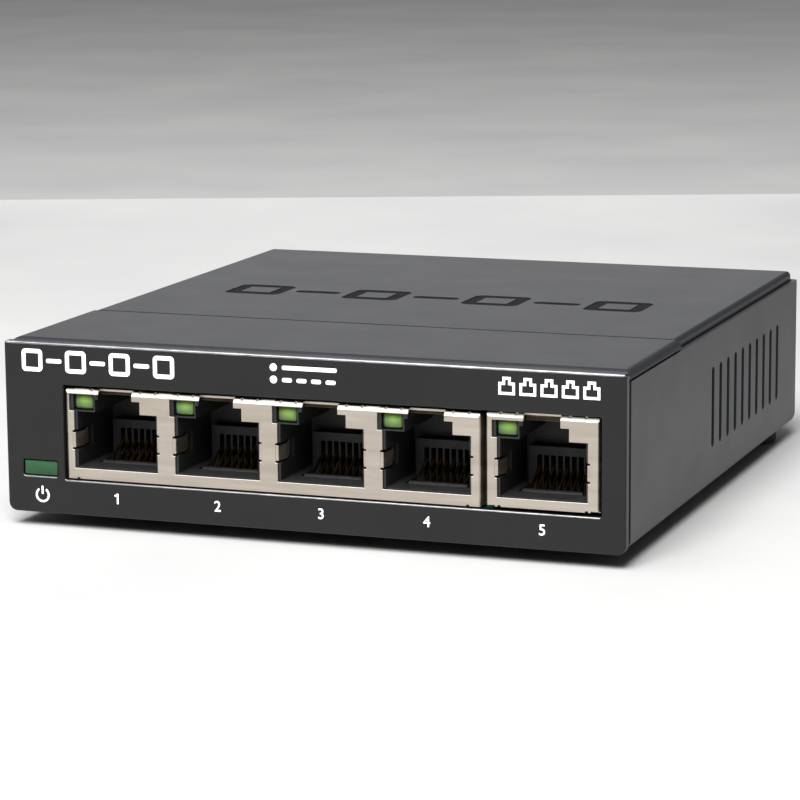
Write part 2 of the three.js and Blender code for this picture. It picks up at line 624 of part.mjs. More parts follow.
function addBoard() {
  addPiece('circuit_board', circuitBoard(), 'laminate');
  const seat = SOLDER_SEAT;
  STANDOFFS.forEach(([x, y], n) => {
    addPiece(`board_screw_${n + 1}`, boardScrew(), 'steel', x, y, seat);
  });
  const magnetics = TRANSFORMER;
  const magneticsY = SHIELD_FACE + JACK_DEPTH + magnetics.behindJack;
  PORT_X.forEach((x, n) => {
    const body = chip(magnetics.width, magnetics.length, magnetics.height, magnetics.leads, 2);
    addPiece(`port_transformer_${n + 1}`, body, 'chipPlastic', x, magneticsY, seat);
  });

  const { x: chipX, y: chipY, side, height, leads } = SWITCH_CHIP;
  addPiece('switch_chip', chip(side, side, height, leads, 4), 'chipPlastic', chipX, chipY, seat);
  const padHalf = THERMAL_PAD.side / 2;
  const pad = block(-padHalf, padHalf, -padHalf, padHalf, 0, THERMAL_PAD.thick);
  const padSeat = seat + height + 0.05;
  addPiece('thermal_pad', pad, 'paleGrey', chipX, chipY, padSeat);
  addPiece('heat_sink', heatSink(), 'aluminium', chipX, chipY, padSeat + THERMAL_PAD.thick + 0.05);

  const smallChip = () => chip(SMALL_CHIP.width, SMALL_CHIP.length, SMALL_CHIP.height, SMALL_CHIP.leads, 2);
  addPiece('memory_chip', smallChip(), 'chipPlastic', MEMORY.x, MEMORY.y, seat);
  addPiece('crystal', crystalCan(), 'steel', CRYSTAL.x, CRYSTAL.y, seat);
  CAPACITOR.x.forEach((x, n) => {
    addPiece(`bulk_capacitor_${n + 1}`, bulkCapacitor(), 'aluminium', x, CAPACITOR.y, seat);
  });
  INDUCTOR.x.forEach((x, n) => {
    addPiece(`power_inductor_${n + 1}`, powerInductor(), 'chipPlastic', x, INDUCTOR.y, seat);
    addPiece(`regulator_chip_${n + 1}`, smallChip(), 'chipPlastic', x, REGULATOR_Y, seat);
  });
  const fuse = chamferedBlock(FUSE.width, FUSE.length, FUSE.height);
  addPiece('input_fuse', fuse, 'chipPlastic', FUSE.x, FUSE.y, seat);
  const diode = chamferedBlock(DIODE.width, DIODE.length, DIODE.height);
  addPiece('protection_diode', diode, 'chipPlastic', DIODE.x, DIODE.y, seat);
}

// ---- Power light and power inlet ------------------------------------------

function addPowerLight() {
  const { clear, inset, overBoard } = LIGHT_PIPE;
  const hole = LIGHT_WINDOW;
  const pipe = block(
    hole.left + clear, hole.right - clear,
    FRONT + inset, BOARD.front + overBoard,
    hole.bottom + clear, hole.top - clear,
  );
  addPiece('power_light_pipe', pipe, 'greenLens');
  const led = chamferedBlock(POWER_LED.side, POWER_LED.side, POWER_LED.height);
  const middle = (hole.left + hole.right) / 2;
  addPiece('power_led', led, 'whiteLed', middle, BOARD.front + POWER_LED.behindEdge, SOLDER_SEAT);
}

function addInlet() {
  const back = REAR - SHEET - GAP;
  const front = back - INLET.depth;
  const left = INLET.x - INLET.width / 2;
  const right = INLET.x + INLET.width / 2;
  const base = SOLDER_SEAT;
  const body = block(left, right, front, back, base, base + INLET.height);
  const bore = bar(INLET.boreRadius, 'y', INLET.x, INLET_BORE_Z, back - INLET.boreDepth, back + 1, 20);
  const pinHole = bar(INLET_PIN.radius + GAP, 'y', INLET.x, INLET_BORE_Z, front - 1, back, 12);
  const room = INLET_SPRING_ROOM;
  const roomHalf = INLET_SPRING.width / 2 + room.side;
  const springRoom = block(
    INLET.x - roomHalf, INLET.x + roomHalf,
    back - room.deep, back - room.shallow,
    base + room.bottom, INLET_BORE_Z - room.belowAxis,
  );
  addPiece('dc_jack_body', cut(body, bore, pinHole, springRoom), 'blackPlastic');

  const pin = bar(
    INLET_PIN.radius, 'y', INLET.x, INLET_BORE_Z,
    front + INLET_PIN.root, back - INLET_PIN.tip, 12,
  );
  addPiece('dc_jack_pin', pin, 'steel');

  const spring = INLET_SPRING;
  const leaf = new THREE.BoxGeometry(spring.width, spring.length, spring.thick);
  leaf.translate(0, spring.length / 2, 0);
  leaf.rotateX(THREE.MathUtils.degToRad(spring.tilt));
  const root = bar(spring.rootRadius, 'x', 0, 0, -spring.width / 2, spring.width / 2, 8);
  addPiece(
    'dc_jack_spring', join(root, solid(leaf)), 'steel',
    INLET.x, back - spring.rootInset, INLET_BORE_Z - spring.drop,
  );
}

addCase();
addJacks();
addBoard();
addPowerLight();
addInlet();

export default assembly;
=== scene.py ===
"""Looks of a five-port desktop network switch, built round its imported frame.

Lengths in the classes are millimetres, and heights are measured from the underside of
the case. hand_over() lifts each finished piece onto its feet and turns it to metres.
"""

import logging
import math
from collections.abc import Callable, Sequence
from dataclasses import dataclass
from enum import Enum

import bmesh
import bpy
from mathutils import Matrix, Vector


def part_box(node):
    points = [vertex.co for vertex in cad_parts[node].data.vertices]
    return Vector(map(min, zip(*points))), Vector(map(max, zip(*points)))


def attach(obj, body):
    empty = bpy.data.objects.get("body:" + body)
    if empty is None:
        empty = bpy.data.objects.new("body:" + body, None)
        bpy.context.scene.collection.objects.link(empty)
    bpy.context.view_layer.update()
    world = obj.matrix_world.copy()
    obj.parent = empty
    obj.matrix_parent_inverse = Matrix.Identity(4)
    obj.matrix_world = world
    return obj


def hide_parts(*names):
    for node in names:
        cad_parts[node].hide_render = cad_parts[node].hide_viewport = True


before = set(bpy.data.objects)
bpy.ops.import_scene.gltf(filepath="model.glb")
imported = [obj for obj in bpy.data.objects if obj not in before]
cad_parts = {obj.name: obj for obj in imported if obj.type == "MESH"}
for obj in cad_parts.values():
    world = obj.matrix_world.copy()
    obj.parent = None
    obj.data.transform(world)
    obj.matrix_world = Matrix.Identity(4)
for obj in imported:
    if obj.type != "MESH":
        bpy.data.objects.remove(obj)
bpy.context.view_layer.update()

LOG = logging.getLogger("network_switch")
MM = 0.001
FOOT_HEIGHT = 2.4
SIDES = (-1, 1)
TO_FRAME = Matrix.Scale(MM, 4) @ Matrix.Translation((0, 0, FOOT_HEIGHT))

Point = tuple[float, float]
Loop = list[Point]
Object = bpy.types.Object
Tree = bpy.types.NodeTree
Node = bpy.types.Node
Socket = bpy.types.NodeSocket


class Axis(Enum):
    """The direction in which an outline is extruded."""

    X = "x"
    Y = "y"
    Z = "z"

    def turn(self, along: float = 0.0) -> Matrix:
        """Matrix that takes an outline's (u, v, depth) to (x, y, z)."""
        rows = {
            Axis.X: ((0, 0, 1, along), (1, 0, 0, 0), (0, 1, 0, 0)),
            Axis.Y: ((1, 0, 0, 0), (0, 0, 1, along), (0, 1, 0, 0)),
            Axis.Z: ((1, 0, 0, 0), (0, 1, 0, 0), (0, 0, 1, along)),
        }[self]
        return Matrix((*rows, (0, 0, 0, 1)))


class Side(Enum):
    """A side of a folded sheet box, by its outward direction."""

    LEFT = (-1, 0, 0)
    RIGHT = (1, 0, 0)
    FRONT = (0, -1, 0)
    REAR = (0, 1, 0)
    BOTTOM = (0, 0, -1)
    TOP = (0, 0, 1)


class Cut(Enum):
    """How two solids are combined."""

    AWAY = "DIFFERENCE"
    JOIN = "UNION"
    COMMON = "INTERSECT"


class Slot(Enum):
    """The record's material slots."""

    CASE = "black_painted_steel"
    PANEL = "black_panel_paint"
    TIN = "tin_plate"
    PLASTIC = "black_plastic"
    LENS = "green_lens"
    RUBBER = "black_rubber"
    BOARD = "green_laminate"
    GOLD = "gold_wire"
    STEEL = "bright_steel"
    ALUMINIUM = "aluminium"
    SILICONE = "grey_silicone"
    CHIP = "chip_plastic"
    LED = "white_led"


class Body(Enum):
    """The bodies that pieces ride on; a contact set's name takes its port number."""

    CASE = "enclosure"
    CONTACTS = "contact_set_{}"
    INLET = "inlet_contact"


# ---- Node helpers ----


def to_linear(code: str) -> tuple[float, float, float, float]:
    """Turns an sRGB hex colour such as #c8bcae into linear RGBA."""
    channels = [int(code[i : i + 2], 16) / 255 for i in (1, 3, 5)]
    linear = [c / 12.92 if c <= 0.04045 else ((c + 0.055) / 1.055) ** 2.4 for c in channels]
    return (*linear, 1.0)


def add_node(
    tree: Tree, kind: str, settings: dict | None = None, inputs: dict | None = None
) -> Node:
    """Adds a node with its settings and its input values or links.

    Args:
        tree: the node tree that gets the node.
        kind: the node's type name.
        settings: properties of the node by name.
        inputs: a value, or an output socket to link, for each input name or number.

    Returns:
        The new node.
    """
    node = tree.nodes.new(kind)
    for key, value in (settings or {}).items():
        setattr(node, key, value)
    for key, value in (inputs or {}).items():
        if isinstance(value, Socket):
            tree.links.new(value, node.inputs[key])
        else:
            node.inputs[key].default_value = value
    return node


def mix(tree: Tree, factor: Socket, low: object, high: object) -> Socket:
    """Adds a mix of two colours, each a value or a socket, and returns its socket."""
    node = add_node(tree, "ShaderNodeMix", {"data_type": "RGBA"}, {0: factor, 6: low, 7: high})
    return node.outputs[2]


def remap(tree: Tree, value: Socket, span: Point, onto: Point) -> Socket:
    """Adds a mapping of a value from one range onto another and returns its socket."""
    inputs = dict(enumerate((value, *span, *onto)))
    return add_node(tree, "ShaderNodeMapRange", inputs=inputs).outputs[0]


# ---- Finishes ----


# The part of a noise node's output that most of its values fall in.
NOISE_SPAN = (0.3, 0.7)


@dataclass(frozen=True)
class Grain:
    """A noise pattern with a real size.

    Attributes:
        size: millimetres from one feature to the next.
        detail: octaves of finer noise on top.
        stretch: how much longer the features are along x, y and z.
    """

    size: float
    detail: float = 2.0
    stretch: tuple[float, float, float] = (1.0, 1.0, 1.0)

    def value(self, tree: Tree) -> Socket:
        """Adds the pattern's nodes and returns the socket of its 0 to 1 value."""
        place = add_node(tree, "ShaderNodeTexCoord").outputs["Object"]
        scale = tuple(1 / s for s in self.stretch)
        mapped = add_node(tree, "ShaderNodeMapping", inputs={"Vector": place, "Scale": scale})
        noise = add_node(
            tree, "ShaderNodeTexNoise",
            inputs={
                "Vector": mapped.outputs[0], "Scale": 1 / (self.size * MM), "Detail": self.detail
            },
        )
        return remap(tree, noise.outputs["Fac"], NOISE_SPAN, (0.0, 1.0))


@dataclass(frozen=True)
class Finish:
    """A surface finish: two tones and a roughness range mixed by one grain, and a relief.

    Attributes:
        name: the real material and how its surface was made.
        dark, light: the two tones, sRGB hex.
        rough: lowest and highest roughness.
        tone: the grain that mixes the tones and the roughness.
        relief: the grain of the surface relief.
        depth: height of the relief in millimetres.
        fixed: uniform values by Principled socket name.
    """

    name: str
    dark: str
    light: str
    rough: tuple[float, float]
    tone: Grain
    relief: Grain
    depth: float
    fixed: tuple[tuple[str, float | tuple[float, ...]], ...] = ()

    def colour(self, tree: Tree, tone: Socket) -> Socket:
        """Mixes the two tones.

        Args:
            tree: the material's node tree.
            tone: the socket of the tone grain.

        Returns:
            The socket of the base colour.
        """
        return mix(tree, tone, to_linear(self.dark), to_linear(self.light))

    def build(self) -> bpy.types.Material:
        """Makes the material once and returns it."""
        known = bpy.data.materials.get(self.name)
        if known:
            return known
        material = bpy.data.materials.new(self.name)
        material.use_nodes = True
        tree = material.node_tree
        tree.nodes.clear()
        tone = self.tone.value(tree)
        rough = remap(tree, tone, (0.0, 1.0), self.rough)
        bump = add_node(
            tree, "ShaderNodeBump",
            inputs={
                "Strength": 1.0, "Distance": self.depth * MM, "Height": self.relief.value(tree)
            },
        )
        surface = add_node(
            tree, "ShaderNodeBsdfPrincipled",
            inputs={
                "Base Color": self.colour(tree, tone), "Roughness": rough,
                "Normal": bump.outputs[0], **dict(self.fixed),
            },
        )
        add_node(tree, "ShaderNodeOutputMaterial", inputs={"Surface": surface.outputs[0]})
        return material


@dataclass(frozen=True)
class LitLens(Finish):
    """Translucent lens with painted light: its colour brightens across it, read from the piece's
    own attribute.
    """

    bright: str = "#62823a"

    def colour(self, tree: Tree, tone: Socket) -> Socket:
        """Mixes the grain's tones and then the bright tone by the piece's painted-light attribute.
        """
        base = super().colour(tree, tone)
        glow = add_node(tree, "ShaderNodeAttribute", {"attribute_name": "glow"})
        return mix(tree, glow.outputs["Fac"], base, to_linear(self.bright))


@dataclass(frozen=True)
class TracedLaminate(Finish):
    """Solder mask over copper: lighter tracks and pours show through the mask."""

    track: str = "#2f7a52"
    pitch: float = 1.27

    def colour(self, tree: Tree, tone: Socket) -> Socket:
        """Mixes the mask's tones and then the colour over copper tracks."""
        base = super().colour(tree, tone)
        place = add_node(tree, "ShaderNodeTexCoord").outputs["Object"]
        bricks = add_node(
            tree, "ShaderNodeTexBrick", {"offset": 0.37, "squash": 1.6},
            {
                "Vector": place, "Scale": 1 / (self.pitch * MM), "Mortar Size": 0.12,
                "Brick Width": 6.0, "Row Height": 1.0,
            },
        )
        return mix(tree, bricks.outputs["Fac"], base, to_linear(self.track))


BARE_METAL = (("Metallic", 1.0),)

# Powder coat on folded steel: near-black satin, with the soft orange peel that the
# cured powder leaves, so highlights break up a little along the sheet.
POWDER_COAT = Finish(
    "black_satin_powder_coat_on_steel", "#1d1e21", "#212225", (0.42, 0.46), Grain(9.0, 3.0),
    Grain(0.9), 0.006, (("Specular Tint", (0.92, 0.94, 1.0, 1.0)),),
)
# Wet-sprayed panel paint: smoother and blacker than the case, a tighter sheen.
PANEL_PAINT = Finish(
    "black_sprayed_paint_on_panel", "#151516", "#19191a", (0.36, 0.42), Grain(14.0), Grain(0.7),
    0.003, (("Specular IOR Level", 0.34),),
)
# Painted highlight: bright bare steel laid on the panel's edges that face up and forwards, where
# the light catches them.
PAINTED_EDGE_HIGHLIGHT = Finish(
    "painted_highlight_on_panel_edge", "#a9a9ab", "#dcdcdd", (0.3, 0.45),
    Grain(0.8, 3.0, (4.0, 1.0, 1.0)), Grain(0.3), 0.002, BARE_METAL,
)
# Painted shade on the floor of the pressed mark: darker and duller than the coat round it.
PAINTED_RECESS_SHADE = Finish(
    "painted_shade_in_pressing", "#08080a", "#0e0e10", (0.6, 0.7), Grain(2.0, 3.0), Grain(0.5),
    0.008, (("Specular IOR Level", 0.08),),
)
# Tin plate rolled along its length: a warm grey metal with faint drawn lines.
TIN_PLATE = Finish(
    "rolled_tin_plate", "#c2b7a9", "#ddd3c7", (0.34, 0.46), Grain(1.6, 3.0, (9.0, 3.0, 1.0)),
    Grain(0.25, stretch=(14.0, 4.0, 1.0)), 0.002, BARE_METAL,
)
# Painted highlight: the shield's top fold coloured a pale, softly scattering white where the light
# catches it.
PAINTED_FOLD_HIGHLIGHT = Finish(
    "painted_highlight_on_shield_fold", "#ece4d8", "#fbf6ee", (0.3, 0.42),
    Grain(1.2, 3.0, (6.0, 1.0, 1.0)), Grain(0.25, stretch=(10.0, 2.0, 1.0)), 0.002,
    (("Metallic", 0.3),),
)
# The latch lips: tin plate coloured a darker brownish grey, painted shade for the shadow they sit
# back in.
PAINTED_SHADE_TIN = Finish(
    "painted_shade_on_latch_lips", "#6b6155", "#82786a", (0.5, 0.62), Grain(0.9, 3.0, (6.0, 2.0, 1.0)),
    Grain(0.2, stretch=(8.0, 2.0, 1.0)), 0.003, BARE_METAL,
)
# Glass-filled nylon from a spark-eroded mould: black, with a fine even tooth.
MOULDED_NYLON = Finish(
    "moulded_glass_filled_nylon", "#19191a", "#222223", (0.42, 0.56), Grain(1.1, 3.0),
    Grain(0.12, 1.0), 0.006,
)
# Cast epoxy light guide: deep green body, glossy skin; painted highlight up and right, painted
# shade at the edges.
LIGHT_GUIDE = LitLens(
    "cast_green_epoxy_light_guide", "#22381a", "#2e4a24", (0.16, 0.24), Grain(1.4), Grain(0.8, 1.0),
    0.004,
    (
        ("Subsurface Weight", 0.25), ("Subsurface Scale", 0.0012), ("Coat Weight", 0.5),
        ("Coat Roughness", 0.08),
    ),
)
# Polycarbonate pipe: a duller, bluer green behind the smooth front window; its top edge carries
# painted light.
LENS_PIPE = LitLens(
    "moulded_green_polycarbonate", "#0d3318", "#143f1f", (0.2, 0.28), Grain(1.8), Grain(0.9, 1.0),
    0.003, (("Subsurface Weight", 0.2), ("Subsurface Scale", 0.0015)), bright="#234a2c",
)
# Matt compression-moulded rubber with a dusty bloom.
FOOT_RUBBER = Finish(
    "compression_moulded_rubber", "#141414", "#222222", (0.78, 0.92), Grain(1.5, 3.0), Grain(0.2),
    0.01,
)
# Green solder mask on glass-epoxy laminate; its tracks are drawn at a coarse 1.27 mm
# pitch so that they show.
LAMINATE = TracedLaminate(
    "solder_mask_on_glass_epoxy", "#0f3d29", "#16492f", (0.3, 0.42), Grain(6.0), Grain(0.6), 0.01
)
# Hard gold over spring bronze wire: bright, with drawing lines along the wire.
GOLD_WIRE = Finish(
    "gold_plated_spring_bronze", "#8f6c2c", "#b18c44", (0.26, 0.38),
    Grain(0.5, stretch=(1.0, 8.0, 4.0)), Grain(0.1, stretch=(1.0, 10.0, 5.0)), 0.001, BARE_METAL,
)
# Bright zinc on cold-headed steel: cool grey with faint mottling.
BRIGHT_ZINC = Finish(
    "zinc_plated_steel", "#9c9ea0", "#c2c4c6", (0.28, 0.42), Grain(0.8, 3.0), Grain(0.25), 0.002,
    BARE_METAL,
)
# Extruded aluminium: pale metal with die lines along the extrusion.
EXTRUDED_ALUMINIUM = Finish(
    "extruded_aluminium", "#a5a8ac", "#c6c9cc", (0.32, 0.46), Grain(0.5, 3.0, (1.0, 20.0, 1.0)),
    Grain(0.2, stretch=(1.0, 30.0, 1.0)), 0.003, BARE_METAL,
)
# Soft filled silicone sheet: matt light grey with tiny filler specks.
SILICONE_PAD = Finish(
    "filled_silicone_sheet", "#8b8e91", "#a4a7aa", (0.7, 0.85), Grain(0.3, 3.0), Grain(0.3), 0.01
)
# Transfer-moulded epoxy: charcoal with a fine matt grain.
MOULD_COMPOUND = Finish(
    "transfer_moulded_epoxy", "#19191a", "#262627", (0.5, 0.66), Grain(0.6, 3.0), Grain(0.12), 0.006
)
# White silicone and yellow phosphor of a surface-mount light.
WHITE_LED = Finish(
    "white_silicone_and_phosphor", "#d9d4b4", "#eeeadb", (0.3, 0.45), Grain(0.5), Grain(0.3), 0.004
)
# Pad-printed ink: white, thin, with the slight mottle of the silicone pad.
PAD_INK = Finish(
    "pad_printed_white_ink", "#f0f0ef", "#fbfbfa", (0.42, 0.55), Grain(0.35, 3.0), Grain(0.15),
    0.002,
)
# Painted studio board: pale and matt, with a faint roller mottle.
STUDIO_BOARD = Finish(
    "rolled_matt_board_paint", "#a6a6a6", "#adadac", (0.75, 0.85), Grain(60.0, 3.0), Grain(4.0),
    0.02,
)


# ---- Outlines ----


def arc(centre: Point, radius: float, start: float, sweep: float, steps: int) -> Loop:
    """Points of an arc with both its ends, in radians and anticlockwise."""
    angles = [start + k / steps * sweep for k in range(steps + 1)]
    return [(centre[0] + radius * math.cos(a), centre[1] + radius * math.sin(a)) for a in angles]


def rounded(low: Point, high: Point, radii: float | Sequence[float], steps: int = 6) -> Loop:
    """Rectangle outline with rounded corners.

    Args:
        low, high: the two opposite corners.
        radii: one radius, or four from the lower left, anticlockwise.
        steps: straight pieces in each corner.

    Returns:
        The points, anticlockwise.
    """
    each = [radii] * 4 if isinstance(radii, (int, float)) else list(radii)
    corners = [(low[0], low[1]), (high[0], low[1]), (high[0], high[1]), (low[0], high[1])]
    points: Loop = []
    for n, ((u, v), radius) in enumerate(zip(corners, each)):
        if radius <= 0:
            points.append((u, v))
            continue
        inward = ((1, 1), (-1, 1), (-1, -1), (1, -1))[n]
        centre = (u + inward[0] * radius, v + inward[1] * radius)
        points += arc(centre, radius, math.pi + n * math.pi / 2, math.pi / 2, steps)
    return points


def disc(u: float, v: float, radius: float, steps: int = 32) -> Loop:
    """Circle outline round (u, v)."""
    return arc((u, v), radius, 0.0, 2 * math.pi, steps)[:-1]


def frame_loops(low: Point, high: Point, radius: float, stroke: float) -> list[Loop]:
    """Rounded rectangle drawn as a stroke: its outer and inner outlines."""
    inner_low = (low[0] + stroke, low[1] + stroke)
    inner_high = (high[0] - stroke, high[1] - stroke)
    return [rounded(low, high, radius), rounded(inner_low, inner_high, max(radius - stroke, 0.05))]


@dataclass(frozen=True)
class LinkedFrames:
    """A mark of rounded frames in a row, joined by bars.

    Attributes:
        centres: where each frame stands along the row.
        middle: where the row lies across it.
        half: half a frame's size.
        stroke: width of the frames' lines and of the bars.
        corner, bar_corner: corner radii of the frames and of the bars.
        gap: space between a frame and a bar.
        bar_steps: straight pieces in each corner of a bar.
    """

    centres: tuple[float, ...]
    middle: float
    half: float
    stroke: float
    corner: float
    bar_corner: float
    gap: float
    bar_steps: int

    def groups(self, grow_by: float = 0.0) -> list[list[Loop]]:
        """The outlines of each frame and then of each bar, widened by a margin."""
        half, thin = self.half, self.stroke / 2
        low, high = self.middle - half - grow_by, self.middle + half + grow_by
        stroke = self.stroke + 2 * grow_by
        frames = [
            frame_loops((x - half - grow_by, low), (x + half + grow_by, high), self.corner, stroke)
            for x in self.centres
        ]
        bars = []
        for left, right in zip(self.centres, self.centres[1:]):
            start = (left + half + self.gap - grow_by, self.middle - thin - grow_by)
            end = (right - half - self.gap + grow_by, self.middle + thin + grow_by)
            bars.append([rounded(start, end, self.bar_corner, self.bar_steps)])
        return frames + bars


PRESSED_MARK = LinkedFrames((-29.6, -9.9, 9.9, 29.6), 5.0, 4.6, 2.1, 1.4, 1.05, 1.5, 6)
PRINTED_MARK = LinkedFrames((-42.5, -35.55, -28.6, -21.65), 22.35, 1.65, 0.62, 0.6, 0.25, 0.6, 3)


# ---- Solid helpers ----

# Vertices closer than this, in millimetres, are merged after a cut or an extrusion.
MERGE = 0.002
# Faces that meet at less than this, in degrees, are one flat face.
FLAT = 0.5
# Edges sharper than this, in degrees, are rounded unless a rule or another angle says more.
ROUNDED_ABOVE = 32.0
# Shading breaks at edges sharper than this, in degrees.
SHADED_SHARP = 40.0
# An edge with a painted highlight faces up and forwards by more than this part of its normal.
HIGHLIGHT_FACING = 0.25
WEIGHT_LAYER = "bevel_weight_edge"


def new_object(name: str, data: bpy.types.ID) -> Object:
    """Puts mesh or curve data into the scene as an object."""
    obj = bpy.data.objects.new(name, data)
    bpy.context.scene.collection.objects.link(obj)
    return obj


def from_bmesh(name: str, bm: bmesh.types.BMesh) -> Object:
    """Turns a bmesh into an object and frees it."""
    mesh = bpy.data.meshes.new(name)
    bm.to_mesh(mesh)
    bm.free()
    return new_object(name, mesh)


def bake(obj: Object) -> Object:
    """Turns an object with its modifiers, or a curve, into a plain mesh object."""
    bpy.context.view_layer.update()
    graph = bpy.context.evaluated_depsgraph_get()
    mesh = bpy.data.meshes.new_from_object(
        obj.evaluated_get(graph), preserve_all_data_layers=True, depsgraph=graph
    )
    if obj.type == "MESH":
        obj.modifiers.clear()
        obj.data = mesh
        return obj
    name = obj.name
    bpy.data.objects.remove(obj)
    return new_object(name, mesh)


def close_up(obj: Object, flat: bool) -> Object:
    """Merges doubles, joins flat faces if asked, and turns all faces outwards."""
    bm = bmesh.new()
    bm.from_mesh(obj.data)
    bmesh.ops.remove_doubles(bm, verts=bm.verts, dist=MERGE)
    if flat:
        bmesh.ops.dissolve_limit(bm, angle_limit=math.radians(FLAT), verts=bm.verts, edges=bm.edges)
    bmesh.ops.recalc_face_normals(bm, faces=bm.faces)
    bm.to_mesh(obj.data)
    bm.free()
    return obj


def slab(name: str, loops: Sequence[Loop], axis: Axis, low: float, high: float) -> Object:
    """Extrudes outlines, with holes where one lies inside another.

    Args:
        name: the object's name.
        loops: closed outlines; their own axes are (y, z), (x, z) or (x, y).
        axis: the direction of the extrusion.
        low, high: its two ends along the axis.

    Returns:
        The closed solid.
    """
    curve = bpy.data.curves.new(name, "CURVE")
    curve.dimensions = "2D"
    curve.fill_mode = "BOTH"
    curve.extrude = (high - low) / 2
    for loop in loops:
        spline = curve.splines.new("POLY")
        spline.points.add(len(loop) - 1)
        for point, (u, v) in zip(spline.points, loop):
            point.co = (u, v, 0, 1)
        spline.use_cyclic_u = True
    obj = bake(new_object(name, curve))
    obj.data.transform(axis.turn((low + high) / 2))
    return close_up(obj, flat=len(loops) == 1)


def block(name: str, x: float, half: float, depths: Point, heights: Point) -> Object:
    """Rectangular solid centred at x, between two depths and two heights."""
    return slab(name, [rounded((x - half, depths[0]), (x + half, depths[1]), 0)], Axis.Z, *heights)


def turned(
    name: str, profile: Sequence[Point], axis: Axis, centre: Sequence[float], steps: int = 48
) -> Object:
    """Solid of revolution.

    Args:
        name: the object's name.
        profile: (radius, distance along the axis) from one end to the other.
        axis: the axis that it turns about.
        centre: the point on the axis where the distance is zero.
        steps: faces round it.

    Returns:
        The closed solid.
    """
    bm = bmesh.new()
    rings = []
    for radius, along in profile:
        count = 1 if radius < 1e-6 else steps
        angles = [2 * math.pi * k / steps for k in range(count)]
        rings.append(
            [bm.verts.new((radius * math.cos(a), radius * math.sin(a), along)) for a in angles]
        )
    for ring, following in zip(rings, rings[1:]):
        for k in range(steps):
            near = [ring[k % len(ring)], ring[(k + 1) % steps % len(ring)]]
            far = [following[(k + 1) % steps % len(following)], following[k % len(following)]]
            corners = list(dict.fromkeys(near + far))
            if len(corners) > 2:
                bm.faces.new(corners)
    obj = from_bmesh(name, bm)
    obj.data.transform(Matrix.Translation(centre) @ axis.turn())
    return close_up(obj, flat=False)


def combine(obj: Object, others: Sequence[Object], how: Cut) -> Object:
    """Cuts solids away from an object, or joins them to it, and removes them.

    Args:
        obj: the object that stays.
        others: the solids that are used up.
        how: cut away, join, or keep what they share.

    Returns:
        The same object, with a plain mesh.
    """
    for other in others:
        modifier = obj.modifiers.new("combine", "BOOLEAN")
        modifier.operation = how.value
        modifier.solver = "EXACT"
        modifier.object = other
    bake(obj)
    for other in others:
        bpy.data.objects.remove(other)
    return close_up(obj, flat=False)


def score(obj: Object, axis: Axis, stations: Sequence[float]) -> Object:
    """Adds edges across flat faces at stations along an axis, so that holes stay apart."""
    normal = axis.turn().to_3x3() @ Vector((0, 0, 1))
    bm = bmesh.new()
    bm.from_mesh(obj.data)
    for station in stations:
        everything = bm.verts[:] + bm.edges[:] + bm.faces[:]
        bmesh.ops.bisect_plane(
            bm, geom=everything, dist=1e-5, plane_co=normal * station, plane_no=normal
        )
    bm.to_mesh(obj.data)
    bm.free()
    return obj


def gather(name: str, parts: Sequence[Object]) -> Object:
    """Puts separate solids into one object without cutting them."""
    bm = bmesh.new()
    for part in parts:
        bm.from_mesh(part.data)
        bpy.data.objects.remove(part)
    return from_bmesh(name, bm)


def soften(
    obj: Object, width: float, segments: int = 2,
    rule: Callable[[Vector, Vector], float] | None = None, angle: float = ROUNDED_ABOVE,
) -> Object:
    """Rounds an object's edges.

    Args:
        obj: the object.
        width: the radius of a full-weight edge.
        segments: faces across each rounded edge.
        rule: weight of an edge from its middle and direction; without it, every
            edge sharper than the angle is rounded.
        angle: that angle in degrees.

    Returns:
        The same object, with a plain mesh.
    """
    modifier = obj.modifiers.new("soften", "BEVEL")
    modifier.width = width
    modifier.segments = segments
    modifier.use_clamp_overlap = False
    modifier.limit_method = "ANGLE"
    modifier.angle_limit = math.radians(angle)
    if rule:
        modifier.limit_method = "WEIGHT"
        bm = bmesh.new()
        bm.from_mesh(obj.data)
        layer = bm.edges.layers.float.new(WEIGHT_LAYER)
        for edge in bm.edges:
            if len(edge.link_faces) == 2 and edge.calc_face_angle() > modifier.angle_limit:
                a, b = (v.co for v in edge.verts)
                edge[layer] = rule((a + b) / 2, (b - a).normalized())
        bm.to_mesh(obj.data)
        bm.free()
    return drop_weights(bake(obj))


def drop_weights(obj: Object) -> Object:
    """Removes edge weights that have done their work."""
    spent = obj.data.attributes.get(WEIGHT_LAYER)
    if spent:
        obj.data.attributes.remove(spent)
    return obj


def front_edges(front: float) -> Callable[[Vector, Vector], float]:
    """Rule for soften() that rounds the edges lying in a front face at y = front."""
    return lambda middle, along: float(abs(middle.y - front) < 0.01 and abs(along.y) < 0.5)


